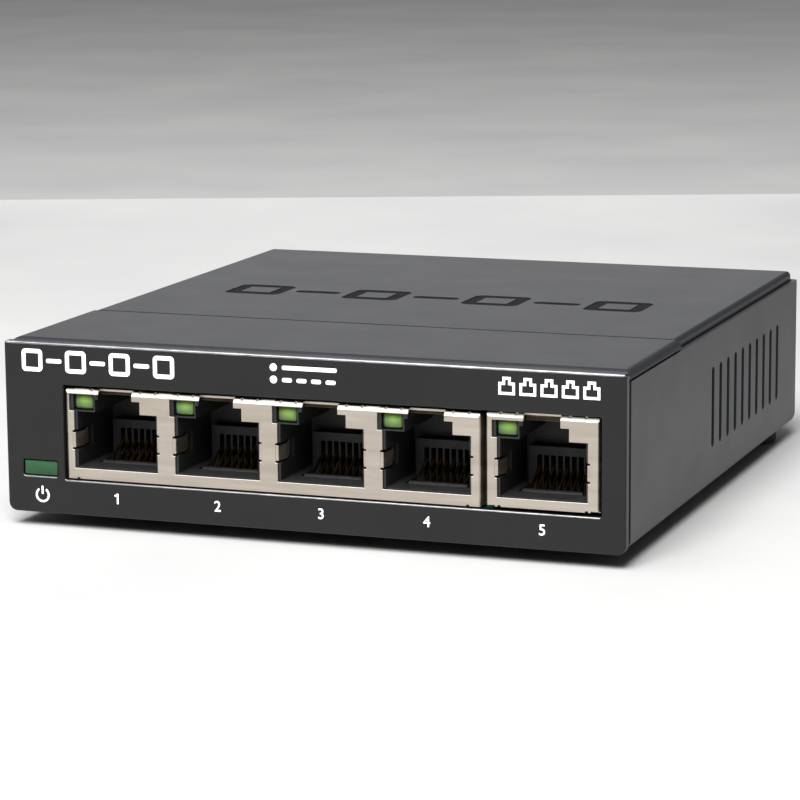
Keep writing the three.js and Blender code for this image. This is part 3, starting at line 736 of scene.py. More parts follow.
def folded_sheet(
    name: str, low: Sequence[float], high: Sequence[float], open_sides: set[Side],
    bends: dict[frozenset[Side], float], sheet: float,
) -> Object:
    """Box folded from sheet, with its bends rounded.

    Args:
        name: the object's name.
        low, high: the box's outer corners.
        open_sides: the sides that have no sheet.
        bends: outer bend radius for each pair of sides.
        sheet: the thickness, laid inwards.

    Returns:
        The closed shell.
    """
    bm = bmesh.new()
    bmesh.ops.create_cube(bm, size=1.0)
    size = Vector(high) - Vector(low)
    middle = (Vector(high) + Vector(low)) / 2
    bmesh.ops.transform(
        bm, matrix=Matrix.Translation(middle) @ Matrix.Diagonal((*size, 1)), verts=bm.verts
    )
    bm.normal_update()
    sides = {f: next(s for s in Side if Vector(s.value).dot(f.normal) > 0.9) for f in bm.faces}
    gone = [f for f, side in sides.items() if side in open_sides]
    bmesh.ops.delete(bm, geom=gone, context="FACES_ONLY")
    largest = max(bends.values())
    layer = bm.edges.layers.float.new(WEIGHT_LAYER)
    for edge in bm.edges:
        pair = frozenset(sides[f] for f in edge.link_faces)
        edge[layer] = bends.get(pair, 0.0) / largest
    loose = [e for e in bm.edges if not e.link_faces]
    bmesh.ops.delete(bm, geom=loose, context="EDGES")
    obj = from_bmesh(name, bm)
    bevel = obj.modifiers.new("bends", "BEVEL")
    bevel.limit_method = "WEIGHT"
    bevel.width = largest
    bevel.segments = 6
    bevel.use_clamp_overlap = False
    wall = obj.modifiers.new("sheet", "SOLIDIFY")
    wall.thickness = sheet
    wall.offset = -1.0
    wall.use_even_offset = True
    return close_up(drop_weights(bake(obj)), flat=False)


def light_up(obj: Object, glow: Callable[[Vector], float]) -> None:
    """Stores painted light on a lens: how bright each point is coloured, from 0 to 1, as a point
    attribute.
    """
    layer = obj.data.attributes.new("glow", "FLOAT", "POINT")
    for vertex, value in zip(obj.data.vertices, layer.data):
        value.value = min(max(glow(vertex.co), 0.0), 1.0)


def cad_box(node: str) -> tuple[Vector, Vector]:
    """A node's lowest and highest corners in millimetres, heights from the case underside."""
    return tuple(Vector((c.x / MM, c.y / MM, c.z / MM - FOOT_HEIGHT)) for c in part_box(node))


def refined_copy(name: str, node: str, edge: float, segments: int = 2) -> Object:
    """Copy of a CAD node's solid with its edges rounded.

    Args:
        name: the new object's name.
        node: the CAD node.
        edge: the edge radius.
        segments: faces across each rounded edge.

    Returns:
        The new object in millimetres.
    """
    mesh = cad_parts[node].data.copy()
    mesh.materials.clear()
    mesh.transform(TO_FRAME.inverted())
    obj = close_up(new_object(name, mesh), flat=False)
    return soften(obj, edge, segments)


def hand_over(
    obj: Object, finish: Finish, body: str = Body.CASE.value,
    nodes: Sequence[str] = (), highlight_finish: Finish | None = None, steepest: float = 1.0,
) -> Object:
    """Finishes a piece: shading, frame units, material, body and what it stands for.

    Args:
        obj: the piece, in millimetres.
        finish: its finish.
        body: the body that it rides on.
        nodes: the CAD nodes that it replaces.
        highlight_finish: the finish of edges that face up and forwards, if they differ: a painted
            highlight.
        steepest: how far up such an edge may face, as the height of its normal.

    Returns:
        The finished piece.
    """
    mesh = obj.data
    mesh.materials.clear()
    mesh.materials.append(finish.build())
    # Faces that point up and forwards take the second finish: a painted highlight.
    if highlight_finish:
        mesh.materials.append(highlight_finish.build())
        for face in mesh.polygons:
            up, forwards = face.normal.z, -face.normal.y
            face.material_index = int(HIGHLIGHT_FACING < up < steepest and forwards > HIGHLIGHT_FACING)
    mesh.shade_smooth()
    mesh.set_sharp_from_angle(angle=math.radians(SHADED_SHARP))
    normals = obj.modifiers.new("flat faces stay flat", "WEIGHTED_NORMAL")
    normals.keep_sharp = True
    normals.weight = 100
    bake(obj)
    obj.data.transform(TO_FRAME)
    obj.data.name = obj.name
    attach(obj, body)
    if nodes:
        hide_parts(*nodes)
    LOG.info("%s: %d faces, on %s", obj.name, len(obj.data.polygons), body)
    return obj


# ---- Geometry Nodes trees ----


def new_tree(name: str, inputs: Sequence[tuple[str, str]]) -> tuple[Tree, Node]:
    """Starts a Geometry Nodes tree.

    Args:
        name: the tree's name.
        inputs: (name, socket type) of each input after the geometry.

    Returns:
        The tree and its input node.
    """
    tree = bpy.data.node_groups.new(name, "GeometryNodeTree")
    tree.interface.new_socket("Geometry", in_out="INPUT", socket_type="NodeSocketGeometry")
    for label, kind in inputs:
        tree.interface.new_socket(label, in_out="INPUT", socket_type=f"NodeSocket{kind}")
    tree.interface.new_socket("Geometry", in_out="OUTPUT", socket_type="NodeSocketGeometry")
    return tree, add_node(tree, "NodeGroupInput")


ROW_INPUTS = (("Count", "Int"), ("Start", "Vector"), ("Step", "Vector"), ("Finish", "Material"))


def end_in_row(tree: Tree, given: Node, shape: Socket) -> Tree:
    """Repeats a shape in a row, makes the copies real and dresses them.

    Args:
        tree: the tree that is being built.
        given: its input node.
        shape: the socket of the shape that is repeated.

    Returns:
        The finished tree.
    """
    line = add_node(
        tree, "GeometryNodeMeshLine", {"mode": "OFFSET"},
        {
            "Count": given.outputs["Count"], "Start Location": given.outputs["Start"],
            "Offset": given.outputs["Step"],
        },
    )
    copies = add_node(
        tree, "GeometryNodeInstanceOnPoints", inputs={"Points": line.outputs[0], "Instance": shape}
    )
    real = add_node(tree, "GeometryNodeRealizeInstances", inputs={"Geometry": copies.outputs[0]})
    dressed = add_node(
        tree, "GeometryNodeSetMaterial",
        inputs={"Geometry": real.outputs[0], "Material": given.outputs["Finish"]},
    )
    add_node(tree, "NodeGroupOutput", inputs={0: dressed.outputs[0]})
    return tree


def row_tree() -> Tree:
    """Tree that repeats the object's own mesh in a straight row."""
    tree, given = new_tree("row_of_copies", ROW_INPUTS)
    return end_in_row(tree, given, given.outputs["Geometry"])


def wire_tree() -> Tree:
    """Tree that turns a path of edges into a bent round wire, repeated in a row."""
    own = (("Width", "Float"), ("Bend", "Float"))
    tree, given = new_tree("row_of_bent_wires", own + ROW_INPUTS)
    path = add_node(tree, "GeometryNodeMeshToCurve", inputs={"Mesh": given.outputs["Geometry"]})
    bent = add_node(
        tree, "GeometryNodeFilletCurve", {"mode": "POLY"},
        {
            "Curve": path.outputs[0], "Radius": given.outputs["Bend"], "Limit Radius": True,
            "Count": 5,
        },
    )
    half = add_node(
        tree, "ShaderNodeMath", {"operation": "DIVIDE"}, {0: given.outputs["Width"], 1: 2.0}
    )
    circle = add_node(
        tree, "GeometryNodeCurvePrimitiveCircle",
        inputs={"Resolution": 10, "Radius": half.outputs[0]},
    )
    wire = add_node(
        tree, "GeometryNodeCurveToMesh",
        inputs={"Curve": bent.outputs[0], "Profile Curve": circle.outputs[0], "Fill Caps": True},
    )
    return end_in_row(tree, given, wire.outputs[0])


def grow(obj: Object, tree: Tree, **values: object) -> Object:
    """Runs a Geometry Nodes tree on an object and keeps the result as a plain mesh.

    Args:
        obj: the object that gives the tree its geometry.
        tree: the tree.
        **values: the tree's inputs by name.

    Returns:
        The same object, with a plain mesh.
    """
    modifier = obj.modifiers.new(tree.name, "NODES")
    modifier.node_group = tree
    for item in tree.interface.items_tree:
        if item.item_type == "SOCKET" and item.in_out == "INPUT" and item.name in values:
            modifier[item.identifier] = values[item.name]
    return bake(obj)


def path_object(name: str, points: Sequence[Sequence[float]]) -> Object:
    """A bare chain of edges for the wire tree."""
    mesh = bpy.data.meshes.new(name)
    mesh.from_pydata([tuple(p) for p in points], [(n, n + 1) for n in range(len(points) - 1)], [])
    return new_object(name, mesh)


@dataclass
class Trees:
    """The Geometry Nodes trees that the sub-assemblies share."""

    row: Tree
    wire: Tree


# ---- Case ----


def bend_radii(radius: float, *pairs: str) -> dict[frozenset[Side], float]:
    """One radius for each pair of sides, written as in "rear_left"."""
    return {frozenset(Side[s.upper()] for s in pair.split("_")): radius for pair in pairs}


@dataclass
class Case:
    """Folded steel tray, top cover and brow, with their feet and screws."""

    half_width: float = 47.0
    front: float = -48.1
    rear: float = 50.5
    wall_top: float = 23.7
    height: float = 25.2
    sheet: float = 0.75
    floor_bend: float = 1.5
    corner_bend: float = 0.9
    edge: float = 0.05
    vent_count: int = 10
    vent_first: float = -4.0
    vent_pitch: float = 4.5
    vent_width: float = 1.5
    vent_low: float = 6.1
    vent_high: float = 18.3
    keyhole_x: float = 30.0
    keyhole_y: float = 4.0
    keyhole_head: float = 3.75
    keyhole_slot: float = 1.9
    keyhole_length: float = 6.5
    inlet_hole: tuple[float, float, float] = (-27.0, 11.4, 4.2)
    screw_x: float = 38.0
    screw_z: float = 16.7
    seam: float = -21.8
    seam_gap: float = 0.5
    brow_front: float = -48.9
    brow_roll: float = 2.0
    brow_side_bend: float = 1.3
    brow_flange: float = 21.8
    brow_skirt: float = 24.0
    brow_relief: float = 1.2
    cover_half: float = 46.1
    cover_bend: float = 0.8
    cover_skirt: float = 19.7
    cover_rear: float = 49.65
    tab_half: float = 4.5
    tab_low: float = 12.7
    boss_x: float = 40.8
    boss_y: tuple[float, float] = (-11.0, 33.0)
    boss_top: float = 3.35
    mark_depth: float = 0.16
    mark_margin: float = 0.06
    foot_radius: float = 5.0

    def build(self, trees: Trees) -> None:
        """Builds every piece of the case."""
        self.tray(trees)
        self.cover()
        self.brow()
        self.feet()
        self.screws()

    def keyhole(self, side: int) -> Loop:
        """Keyhole outline: a round head hole with a slot that runs to the rear."""
        x, y = side * self.keyhole_x, self.keyhole_y
        gap = math.asin(self.keyhole_slot / self.keyhole_head)
        head = arc((x, y), self.keyhole_head, math.pi / 2 - gap, 2 * (gap - math.pi), 24)
        tip = arc((x, y + self.keyhole_length), self.keyhole_slot, math.pi, -math.pi, 10)
        return head + tip

    def vents(self, trees: Trees) -> Object:
        """The row of slots that is cut through both side walls."""
        radius = self.vent_width / 2
        low = (self.vent_first - radius, self.vent_low)
        high = (self.vent_first + radius, self.vent_high)
        outline = rounded(low, high, radius)
        slot = slab("vent_slots", [outline], Axis.X, -self.half_width - 1, self.half_width + 1)
        return grow(
            slot, trees.row, Count=self.vent_count, Step=(0.0, self.vent_pitch, 0.0),
            Finish=POWDER_COAT.build(),
        )

    def screw_seat(self, x: float) -> Object:
        """Cone that countersinks the rear wall for a cover screw."""
        profile = [(0, -1), (2.0, -1), (2.0, -self.sheet), (2.85, 0.01), (2.85, 1), (0, 1)]
        return turned("screw_seat", profile, Axis.Y, (x, self.rear, self.screw_z), 32)

    def tray(self, trees: Trees) -> None:
        """Floor, side walls and rear wall, with their slots, keyholes and standoffs."""
        bends = bend_radii(self.floor_bend, "bottom_left", "bottom_right", "bottom_rear")
        bends |= bend_radii(self.corner_bend, "rear_left", "rear_right")
        low = (-self.half_width, self.front, 0)
        high = (self.half_width, self.rear, self.wall_top)
        open_sides = {Side.TOP, Side.FRONT}
        shell = folded_sheet("tray_shell", low, high, open_sides, bends, self.sheet)
        between = [
            self.vent_first + (n - 0.5) * self.vent_pitch for n in range(self.vent_count + 1)
        ]
        score(shell, Axis.Y, between)
        score(shell, Axis.Z, (self.vent_low - 2, self.vent_high + 2))
        x, z, radius = self.inlet_hole
        cutters = [self.vents(trees)]
        cutters += [slab("keyhole", [self.keyhole(s)], Axis.Z, -1, 2) for s in SIDES]
        cutters += [self.screw_seat(s * self.screw_x) for s in SIDES]
        cutters.append(
            slab("inlet_hole", [disc(x, z, radius, 48)], Axis.Y, self.rear - 2, self.rear + 1)
        )
        combine(shell, cutters, Cut.AWAY)
        soften(shell, self.edge)
        parts = [shell] + [self.standoff(s * self.boss_x, y) for s in SIDES for y in self.boss_y]
        hand_over(gather("tray_shell", parts), POWDER_COAT, nodes=["base_tray"])

    def standoff(self, x: float, y: float) -> Object:
        """Pressed boss that carries the board, flared where it leaves the floor."""
        floor, top = self.sheet - 0.1, self.boss_top
        profile = [
            (0, floor), (4.2, floor), (3.5, floor + 0.35), (3.05, floor + 1.0), (3.0, top - 0.2)
        ]
        profile += [(2.8, top), (1.5, top), (1.5, floor + 0.5), (0, floor + 0.5)]
        return turned("standoff", profile, Axis.Z, (x, y, 0), 32)

    def cover(self) -> None:
        """Top cover with its skirts, screw tabs and pressed mark."""
        front = self.seam + self.seam_gap / 2
        pairs = ("top_left", "top_right", "top_rear", "rear_left", "rear_right")
        bends = bend_radii(self.cover_bend, *pairs)
        low = (-self.cover_half, front, self.cover_skirt)
        high = (self.cover_half, self.cover_rear, self.height)
        open_sides = {Side.BOTTOM, Side.FRONT}
        shell = folded_sheet("cover_shell", low, high, open_sides, bends, self.sheet)
        tabs = []
        for side in SIDES:
            x = side * self.screw_x
            outline = rounded(
                (x - self.tab_half, self.tab_low), (x + self.tab_half, self.cover_skirt + 1),
                (1, 1, 0, 0),
            )
            tabs.append(
                slab("tab", [outline], Axis.Y, self.cover_rear - self.sheet, self.cover_rear)
            )
            collar = [(0, -2.25), (2.4, -2.25), (2.6, -2.05), (2.6, -0.7), (0, -0.7)]
            tabs.append(turned("collar", collar, Axis.Y, (x, self.cover_rear, self.screw_z), 32))
        combine(shell, tabs, Cut.JOIN)
        holes = [
            slab("hole", [disc(s * self.screw_x, self.screw_z, 1.6, 24)], Axis.Y, 44.0, 52.0)
            for s in SIDES
        ]
        floor = self.height - self.mark_depth
        mark = [loop for group in PRESSED_MARK.groups() for loop in group]
        pressing = slab("pressing", mark, Axis.Z, floor, self.height + 1)
        combine(shell, [*holes, pressing], Cut.AWAY)
        soften(shell, self.edge)
        hand_over(shell, POWDER_COAT, nodes=["top_cover"])
        # A thin dark sheet laid on the floor of the pressing: painted shade.
        mark = [loop for group in PRESSED_MARK.groups(-self.mark_margin) for loop in group]
        inlay = slab("pressed_mark_painted_shade", mark, Axis.Z, floor + 0.002, floor + 0.06)
        hand_over(inlay, PAINTED_RECESS_SHADE)

    def brow_solid(self, name: str, inset: float) -> Object:
        """The brow as a solid: the front roll and the side bends cross at mitred corners.

        Args:
            name: the object's name.
            inset: how far inside the outer skin it lies; the open sides stick out then.

        Returns:
            The closed solid.
        """
        back = self.seam - self.seam_gap / 2 + inset
        low, high = self.brow_flange - inset, self.height - inset
        front, half = self.brow_front + inset, self.half_width - inset
        rolled = rounded((front, low), (back, high), (0, 0, 0, self.brow_roll - inset), 8)
        bent = rounded((-half, low), (half, high), (0, 0) + (self.brow_side_bend - inset,) * 2, 8)
        solid = slab(name, [rolled], Axis.X, -half, half)
        return combine(solid, [slab("bent", [bent], Axis.Y, front, back)], Cut.COMMON)

    def brow(self) -> None:
        """Strip over the sockets, rolled down behind the panel and over the side walls."""
        back = self.seam - self.seam_gap / 2
        shell = self.brow_solid("brow_shell", 0.0)
        combine(shell, [self.brow_solid("hollow", self.sheet)], Cut.AWAY)
        depths, heights = (self.brow_front - 1, back + 1), (self.brow_flange - 1, self.brow_skirt)
        reliefs = [
            block("relief", side * self.half_width, self.brow_relief, depths, heights)
            for side in SIDES
        ]
        combine(shell, reliefs, Cut.AWAY)
        half = self.sheet / 2
        depths, heights = (self.brow_front + 3, back), (self.cover_skirt, self.height - half)
        guides = [
            block("guide", side * (self.cover_half - half), half, depths, heights) for side in SIDES
        ]
        combine(shell, guides, Cut.JOIN)
        soften(shell, self.edge)
        hand_over(shell, POWDER_COAT, nodes=["front_brow"])

    def feet(self) -> None:
        """Four moulded feet with a dished sole and a soft shoulder."""
        names = ("front_left", "front_right", "rear_left", "rear_right")
        for n, name in enumerate(names, 1):
            node = f"rubber_foot_{n}"
            low, high = cad_box(node)
            r, drop, top = self.foot_radius, low.z, high.z
            profile = [
                (0, drop + 0.25), (3.0, drop + 0.2), (3.6, drop), (r - 0.45, drop),
                (r - 0.15, drop + 0.12),
            ]
            profile += [
                (r, drop + 0.45), (r, top - 0.35), (r - 0.1, top - 0.1), (r - 0.3, top), (0, top)
            ]
            centre = ((low.x + high.x) / 2, (low.y + high.y) / 2, 0)
            foot = turned(f"foot_{name}", profile, Axis.Z, centre, 56)
            hand_over(foot, FOOT_RUBBER, nodes=[node])

    def screws(self) -> None:
        """Countersunk cross-recess screws that hold the cover."""
        for n, side in enumerate(SIDES, 1):
            x = side * self.screw_x
            face = self.rear - 0.1
            profile = [
                (0, -5.0), (1.2, -5.0), (1.45, -4.7), (1.45, -0.95), (2.5, -0.06), (2.55, 0),
                (0, 0.0),
            ]
            screw = turned(f"cover_screw_head_{n}", profile, Axis.Y, (x, face, self.screw_z), 40)
            z, arm, thin = self.screw_z, 1.35, 0.3
            cross = [
                block("cross", x, across, (face - 0.7, face + 0.2), (z - up, z + up))
                for across, up in ((thin, arm), (arm, thin))
            ]
            combine(screw, cross, Cut.AWAY)
            soften(screw, 0.06)
            hand_over(screw, BRIGHT_ZINC, nodes=[f"cover_screw_{n}"])


# ---- Front panel ----


@dataclass
class FrontPanel:
    """Proud front plate with its windows, its return flange and its print."""

    half_width: float = 47.0
    face: float = -50.46
    ink_face: float = -50.5
    ink_back: float = -50.45
    back: float = -49.1
    bottom: float = -0.25
    top: float = 25.0
    low_corner: float = 1.3
    top_corner: float = 0.4
    edge: float = 0.32
    rim: float = 1.5
    window_weight: float = 0.6
    sockets: tuple[Point, Point] = ((-37.75, 4.9), (43.5, 18.9))
    light: tuple[Point, Point] = ((-44.4, 5.2), (-38.85, 7.6))
    return_half: float = 45.85
    return_sheet: float = 0.8
    return_low: float = 1.05
    return_top: float = 19.4
    return_back: float = -43.5
    digit_height: float = 1.55
    digit_z: float = 1.85
    digit_shift: float = 0.15
    ports: tuple[float, ...] = (-29.68, -13.8, 2.08, 17.96, 34.85)

    def build(self) -> None:
        """Builds the plate and its print."""
        self.plate()
        self.print()

    def plate(self) -> None:
        """The plate: soft edges outside, crisp cut edges at the windows, and a painted highlight on
        the edges that face up and forwards.
        """
        half = self.half_width
        outer = rounded(
            (-half, self.bottom), (half, self.top), (self.low_corner,) * 2 + (self.top_corner,) * 2
        )
        plate = slab("panel_plate", [outer], Axis.Y, self.face, self.back)
        (left, low), (right, high) = self.light
        score(plate, Axis.X, ((left + right) / 2, (right + self.sockets[0][0]) / 2, 3.0))
        score(plate, Axis.Z, ((low + high) / 2, 12.0))
        holes = [
            slab("window", [rounded(*window, 0.25, 3)], Axis.Y, self.face - 1, self.back + 1)
            for window in (self.sockets, self.light)
        ]
        combine(plate, holes, Cut.AWAY)
        in_front = front_edges(self.face)

        def weight(middle: Vector, along: Vector) -> float:
            """Full at the outer front edge, less at the windows, none elsewhere."""
            rim = self.rim
            inside = abs(middle.x) < half - rim and rim < middle.z < self.top - rim
            return in_front(middle, along) * (self.window_weight if inside else 1.0)

        soften(plate, self.edge, 3, weight)
        x, low, sheet = self.return_half, self.return_low, self.return_sheet
        flange = [
            (-x, self.return_top), (-x, low), (x, low), (x, self.return_top),
            (x - sheet, self.return_top), (x - sheet, low + sheet), (-x + sheet, low + sheet),
            (-x + sheet, self.return_top),
        ]
        returns = slab("returns", [flange], Axis.Y, self.back - 0.2, self.return_back)
        combine(plate, [returns], Cut.JOIN)
        # Its edges that face up and forwards get a painted highlight of bright bare steel.
        hand_over(plate, PANEL_PAINT, nodes=["front_panel"], highlight_finish=PAINTED_EDGE_HIGHLIGHT)

    def ink(self, name: str, loops: Sequence[Loop]) -> Object:
        """A printed shape standing a few hundredths off the plate."""
        return slab(name, loops, Axis.Y, self.ink_face, self.ink_back)

    def digit(self, text: str, x: float) -> Object:
        """A port number centred at x; the one is drawn as a stem with a flag."""
        if text == "1":
            one = [
                (0.14, 0), (0.4, 0), (0.4, 1.55), (0.17, 1.55), (-0.27, 1.24), (-0.15, 1.04),
                (0.14, 1.22),
            ]
            return self.ink("digit", [[(x - 0.1 + u, self.digit_z + v) for u, v in one]])
        font = bpy.data.curves.new("digit", "FONT")
        font.body = text
        font.extrude = (self.ink_back - self.ink_face) / 2
        font.offset = 0.008
        obj = bake(new_object("digit", font))
        points = [v.co for v in obj.data.vertices]
        low = Vector((min(p.x for p in points), min(p.y for p in points)))
        high = Vector((max(p.x for p in points), max(p.y for p in points)))
        scale = self.digit_height / (high.y - low.y)
        centre = Matrix.Translation((-(low.x + high.x) / 2, -low.y, 0))
        middle = (self.ink_face + self.ink_back) / 2
        placed = Matrix.Translation((x, 0, self.digit_z)) @ Axis.Y.turn(middle)
        obj.data.transform(placed @ Matrix.Diagonal((scale, scale, 1, 1)) @ centre)
        return close_up(obj, flat=False)

    def power_symbol(self) -> list[Object]:
        """Open ring with a bar: the usual power symbol."""
        x, z, outer, inner = -41.4, 2.45, 1.12, 0.82
        gap = math.radians(34)
        start, sweep = math.pi / 2 + gap, 2 * math.pi - 2 * gap
        ring = arc((x, z), outer, start, sweep, 28) + arc((x, z), inner, start, sweep, 28)[::-1]
        stem = rounded((x - 0.15, z + 0.1), (x + 0.15, z + 1.35), 0.12, 3)
        return [self.ink("ring", [ring]), self.ink("stem", [stem])]

    def legend(self) -> list[Object]:
        """Indicator legend: a dot with a solid bar over a dot with a broken bar."""
        high, low, half = 23.3, 21.55, 0.3
        parts = [self.ink("dot", [disc(-4.7, z, 0.55, 20)]) for z in (high, low)]
        parts.append(self.ink("solid", [rounded((-3.4, high - half), (4.9, high + half), 0.25, 3)]))
        for n in range(4):
            left = -3.4 + n * 2.2
            dash = rounded((left, low - half), (left + 1.5, low + half), 0.25, 3)
            parts.append(self.ink("dash", [dash]))
        return parts

    def socket_signs(self) -> list[Object]:
        """Front right mark: five small socket outlines."""
        parts = []
        for n in range(5):
            x, z = 29.9 + n * 3.05, 21.3
            outer = [
                (-1.2, 0), (1.2, 0), (1.2, 1.75), (0.6, 1.75), (0.6, 2.5), (-0.6, 2.5),
                (-0.6, 1.75), (-1.2, 1.75),
            ]
            inner = [(-0.82, 0.38), (0.82, 0.38), (0.82, 1.37), (0.22, 1.37)]
            inner += [(0.22, 2.12), (-0.22, 2.12), (-0.22, 1.37), (-0.82, 1.37)]
            loops = [[(x + u, z + v) for u, v in loop] for loop in (outer, inner)]
            parts.append(self.ink("socket", loops))
        return parts

    def print(self) -> None:
        """All the white print, each group its own piece."""
        digits = [self.digit(str(n), x + self.digit_shift) for n, x in enumerate(self.ports, 1)]
        groups = {
            "print_port_numbers": digits, "print_power_symbol": self.power_symbol(),
            "print_linked_frames": [self.ink("frame", group) for group in PRINTED_MARK.groups()],
            "print_indicator_legend": self.legend(), "print_socket_signs": self.socket_signs(),
        }
        for name, parts in groups.items():
            hand_over(gather(name, parts), PAD_INK)


# ---- Sockets ----


@dataclass
class PortOpening:
    """The stepped hole of one port, measured from its centre line."""

    half: float = 6.55
    bottom: float = 6.7
    shoulder: float = 15.1
    step: float = 3.85
    step_top: float = 16.95
    latch_left: float = -2.7
    latch_right: float = 2.6
    led_left: float = -7.3
    led_bottom: float = 15.15
    led_top: float = 17.62
    notch_deep: float = 0.32
    notch_tall: float = 0.3
    finger_low: float = 9.72
    finger_high: float = 11.98

    def outline(self, x: float, above: float) -> Loop:
        """The opening round centre x, with the latch gap left open up to a height."""
        deep = self.half + self.notch_deep
        low, high = self.finger_low - self.notch_tall, self.finger_high + self.notch_tall
        notch = [(self.half, low), (deep, low), (deep, high), (self.half, high)]
        right = [
            (self.half, self.bottom), *notch, (self.half, self.shoulder),
            (self.step, self.shoulder), (self.step, self.step_top),
            (self.latch_right, self.step_top), (self.latch_right, above),
        ]
        left = [
            (self.latch_left, above), (self.latch_left, self.led_top),
            (self.led_left, self.led_top), (self.led_left, self.led_bottom),
            (-self.half, self.led_bottom), *((-u, v) for u, v in reversed(notch)),
            (-self.half, self.bottom),
        ]
        return [(x + u, v) for u, v in right + left]


GANGED = 4
# The strips pushed out of the ganged shield's top edge: the first stands at the left end,
# and each of the others keeps the same distance from the port to its right.
FIRST_LAND = (-36.1, -33.9)
LAND_BEFORE_PORT = (-8.95, -6.95)


@dataclass
class JackBank:
    """One shield with its plastic body and ports."""

    name: str
    left: float
    right: float
    bottom: float
    top: float
    ports: tuple[float, ...]
    opening: PortOpening
    face: float = -50.0
    depth: float = 16.4
    sheet: float = 0.35
    lip_back: float = 1.1
    lip_low: float = 17.55
    lean: tuple[Point, ...] = ((0.0, 0.66), (0.05, 0.54), (0.3, 0.1), (0.5, 0.0))
    bend: float = 0.45
    lip_tilt: float = 0.6
    lands: tuple[Point, ...] = ()
    dips: tuple[float, ...] = (-6.05, -3.75, 3.9, 6.25)
    dip_width: float = 0.3
    dip_depth: float = 0.24
    end_clear: float = 0.6
    foot_rise: float = 0.2
    foot_dip: float = 1.9
    foot_cut: float = 0.0
    half_pitch: float = 7.94

    def build(self) -> None:
        """Builds the shield and the plastic body."""
        self.shield()
        body = refined_copy(f"{self.name}_socket_body", f"{self.name}_housing", 0.07)
        hand_over(body, MOULDED_NYLON, nodes=[f"{self.name}_housing"])

    def finger(self, x: float, side: int) -> Object:
        """Grounding finger: out of the face, in to a bump, and back to the wall."""
        edge = self.opening.half
        path = [
            (edge + 0.32, 0.02), (edge + 0.05, 0.02), (edge - 0.12, 0.14), (edge - 0.2, 0.45),
            (edge - 0.55, 2.0), (edge - 0.58, 2.3), (edge - 0.5, 2.6), (edge + 0.05, 4.7),
        ]
        thick = 0.2
        inner = [(x + side * u, self.face + y) for u, y in path]
        offsets = [(0.4 * thick, thick)] * 2 + [(thick, 0.06)] * (len(path) - 2)
        outer = [(x + side * (u + a), self.face + y + b) for (u, y), (a, b) in zip(path, offsets)]
        low, high = self.opening.finger_low + 0.02, self.opening.finger_high - 0.02
        return soften(slab("finger", [inner + outer[::-1]], Axis.Z, low, high), 0.05, 1)

    def skin(self, name: str, inset: float) -> Object:
        """The shield as a solid, its front rolled over at the top and its corners bent.

        Args:
            name: the object's name.
            inset: how far inside the outer skin it lies; the open underside sticks out then.

        Returns:
            The closed solid.
        """
        left, right = self.left + inset, self.right - inset
        front, back = self.face + inset, self.face + self.depth - inset
        low, high = self.bottom - 2 * inset, self.top - inset
        bend = self.bend - inset
        profile = rounded((front, low), (back, high), (0, 0, bend, 0), 4)[:-1]
        profile += [(front + y, high - z) for y, z in reversed(self.lean)]
        solid = slab(name, [profile], Axis.X, left, right)
        facing = rounded((left, low), (right, high), (0, 0, bend, bend), 4)
        plan = rounded((left, front), (right, back), bend, 4)
        across = slab("across", [facing], Axis.Y, front, back)
        around = slab("around", [plan], Axis.Z, low, high)
        return combine(solid, [across, around], Cut.COMMON)

    def land(self, left: float, right: float) -> Object:
        """Raised strip on the leaning top edge, where the sheet is pushed out."""
        rise, back = 0.13, self.face + 1.2
        profile = [(self.face + y - 0.02, self.top + rise - z) for y, z in reversed(self.lean)]
        profile += [
            (self.face + 0.1, self.top - 0.6), (back, self.top - 0.2), (back, self.top + rise)
        ]
        return soften(slab("land", [profile], Axis.X, left, right), 0.04, 1)

    def shield(self) -> None:
        """The folded shield, cut for its ports, with lips and fingers."""
        shell = self.skin(f"{self.name}_shield_skin", 0.0)
        combine(shell, [self.skin("hollow", self.sheet)], Cut.AWAY)
        score(shell, Axis.X, [x - self.half_pitch for x in self.ports] + [self.right - 1.2])
        score(shell, Axis.Z, (self.bottom + self.end_clear,))
        front, start = self.face - 1, self.face + self.lip_back
        outlines = [self.opening.outline(x, self.top + 1) for x in self.ports]
        cutters = [slab("port", [outline], Axis.Y, front, start) for outline in outlines]
        dips = [x + dip for x in self.ports for dip in self.dips]
        notches = [
            (x, self.dip_width / 2, self.top - self.dip_depth, self.top + 1)
            for x in dips
            if self.left + self.end_clear < x < self.right - self.end_clear
        ]
        below, above = self.bottom - 1, self.bottom + self.foot_rise
        for x in (self.left + self.foot_dip, self.right - self.foot_dip):
            notches.append((x, self.foot_rise, below, above + 0.02))
        if self.foot_cut:
            notches += [(x, self.foot_cut, below, above) for x in (self.left, self.right)]
        for x, half, low, high in notches:
            cutters.append(block("notch", x, half, (front, self.face + 0.5), (low, high)))
        combine(shell, cutters, Cut.AWAY)
        soften(shell, 0.06)
        root, tilt = self.top - self.sheet / 2, self.lip_tilt
        leaf = [(start, self.lip_low + 0.15), (start + self.sheet, self.lip_low)]
        leaf += [(start + self.sheet + tilt, root), (start + tilt, root)]
        extras, lips = [], []
        for x in self.ports:
            low, high = x + self.opening.latch_left - 0.1, x + self.opening.latch_right + 0.1
            lips.append(soften(slab("lip", [leaf], Axis.X, low, high), 0.06))
            extras += [self.finger(x, side) for side in SIDES]
        extras += [self.land(*land) for land in self.lands]
        shield = gather(shell.name, [shell, *extras])
        shield.name = f"{self.name}_shield_skin"
        node = f"{self.name}_shield"
        # The shield's faces that point up and forwards, at its top fold, get a painted highlight.
        hand_over(shield, TIN_PLATE, nodes=[node], highlight_finish=PAINTED_FOLD_HIGHLIGHT, steepest=0.65)
        # The latch lips are coloured darker: painted shade.
        hand_over(gather(f"{self.name}_latch_lips", lips), PAINTED_SHADE_TIN, nodes=[node])


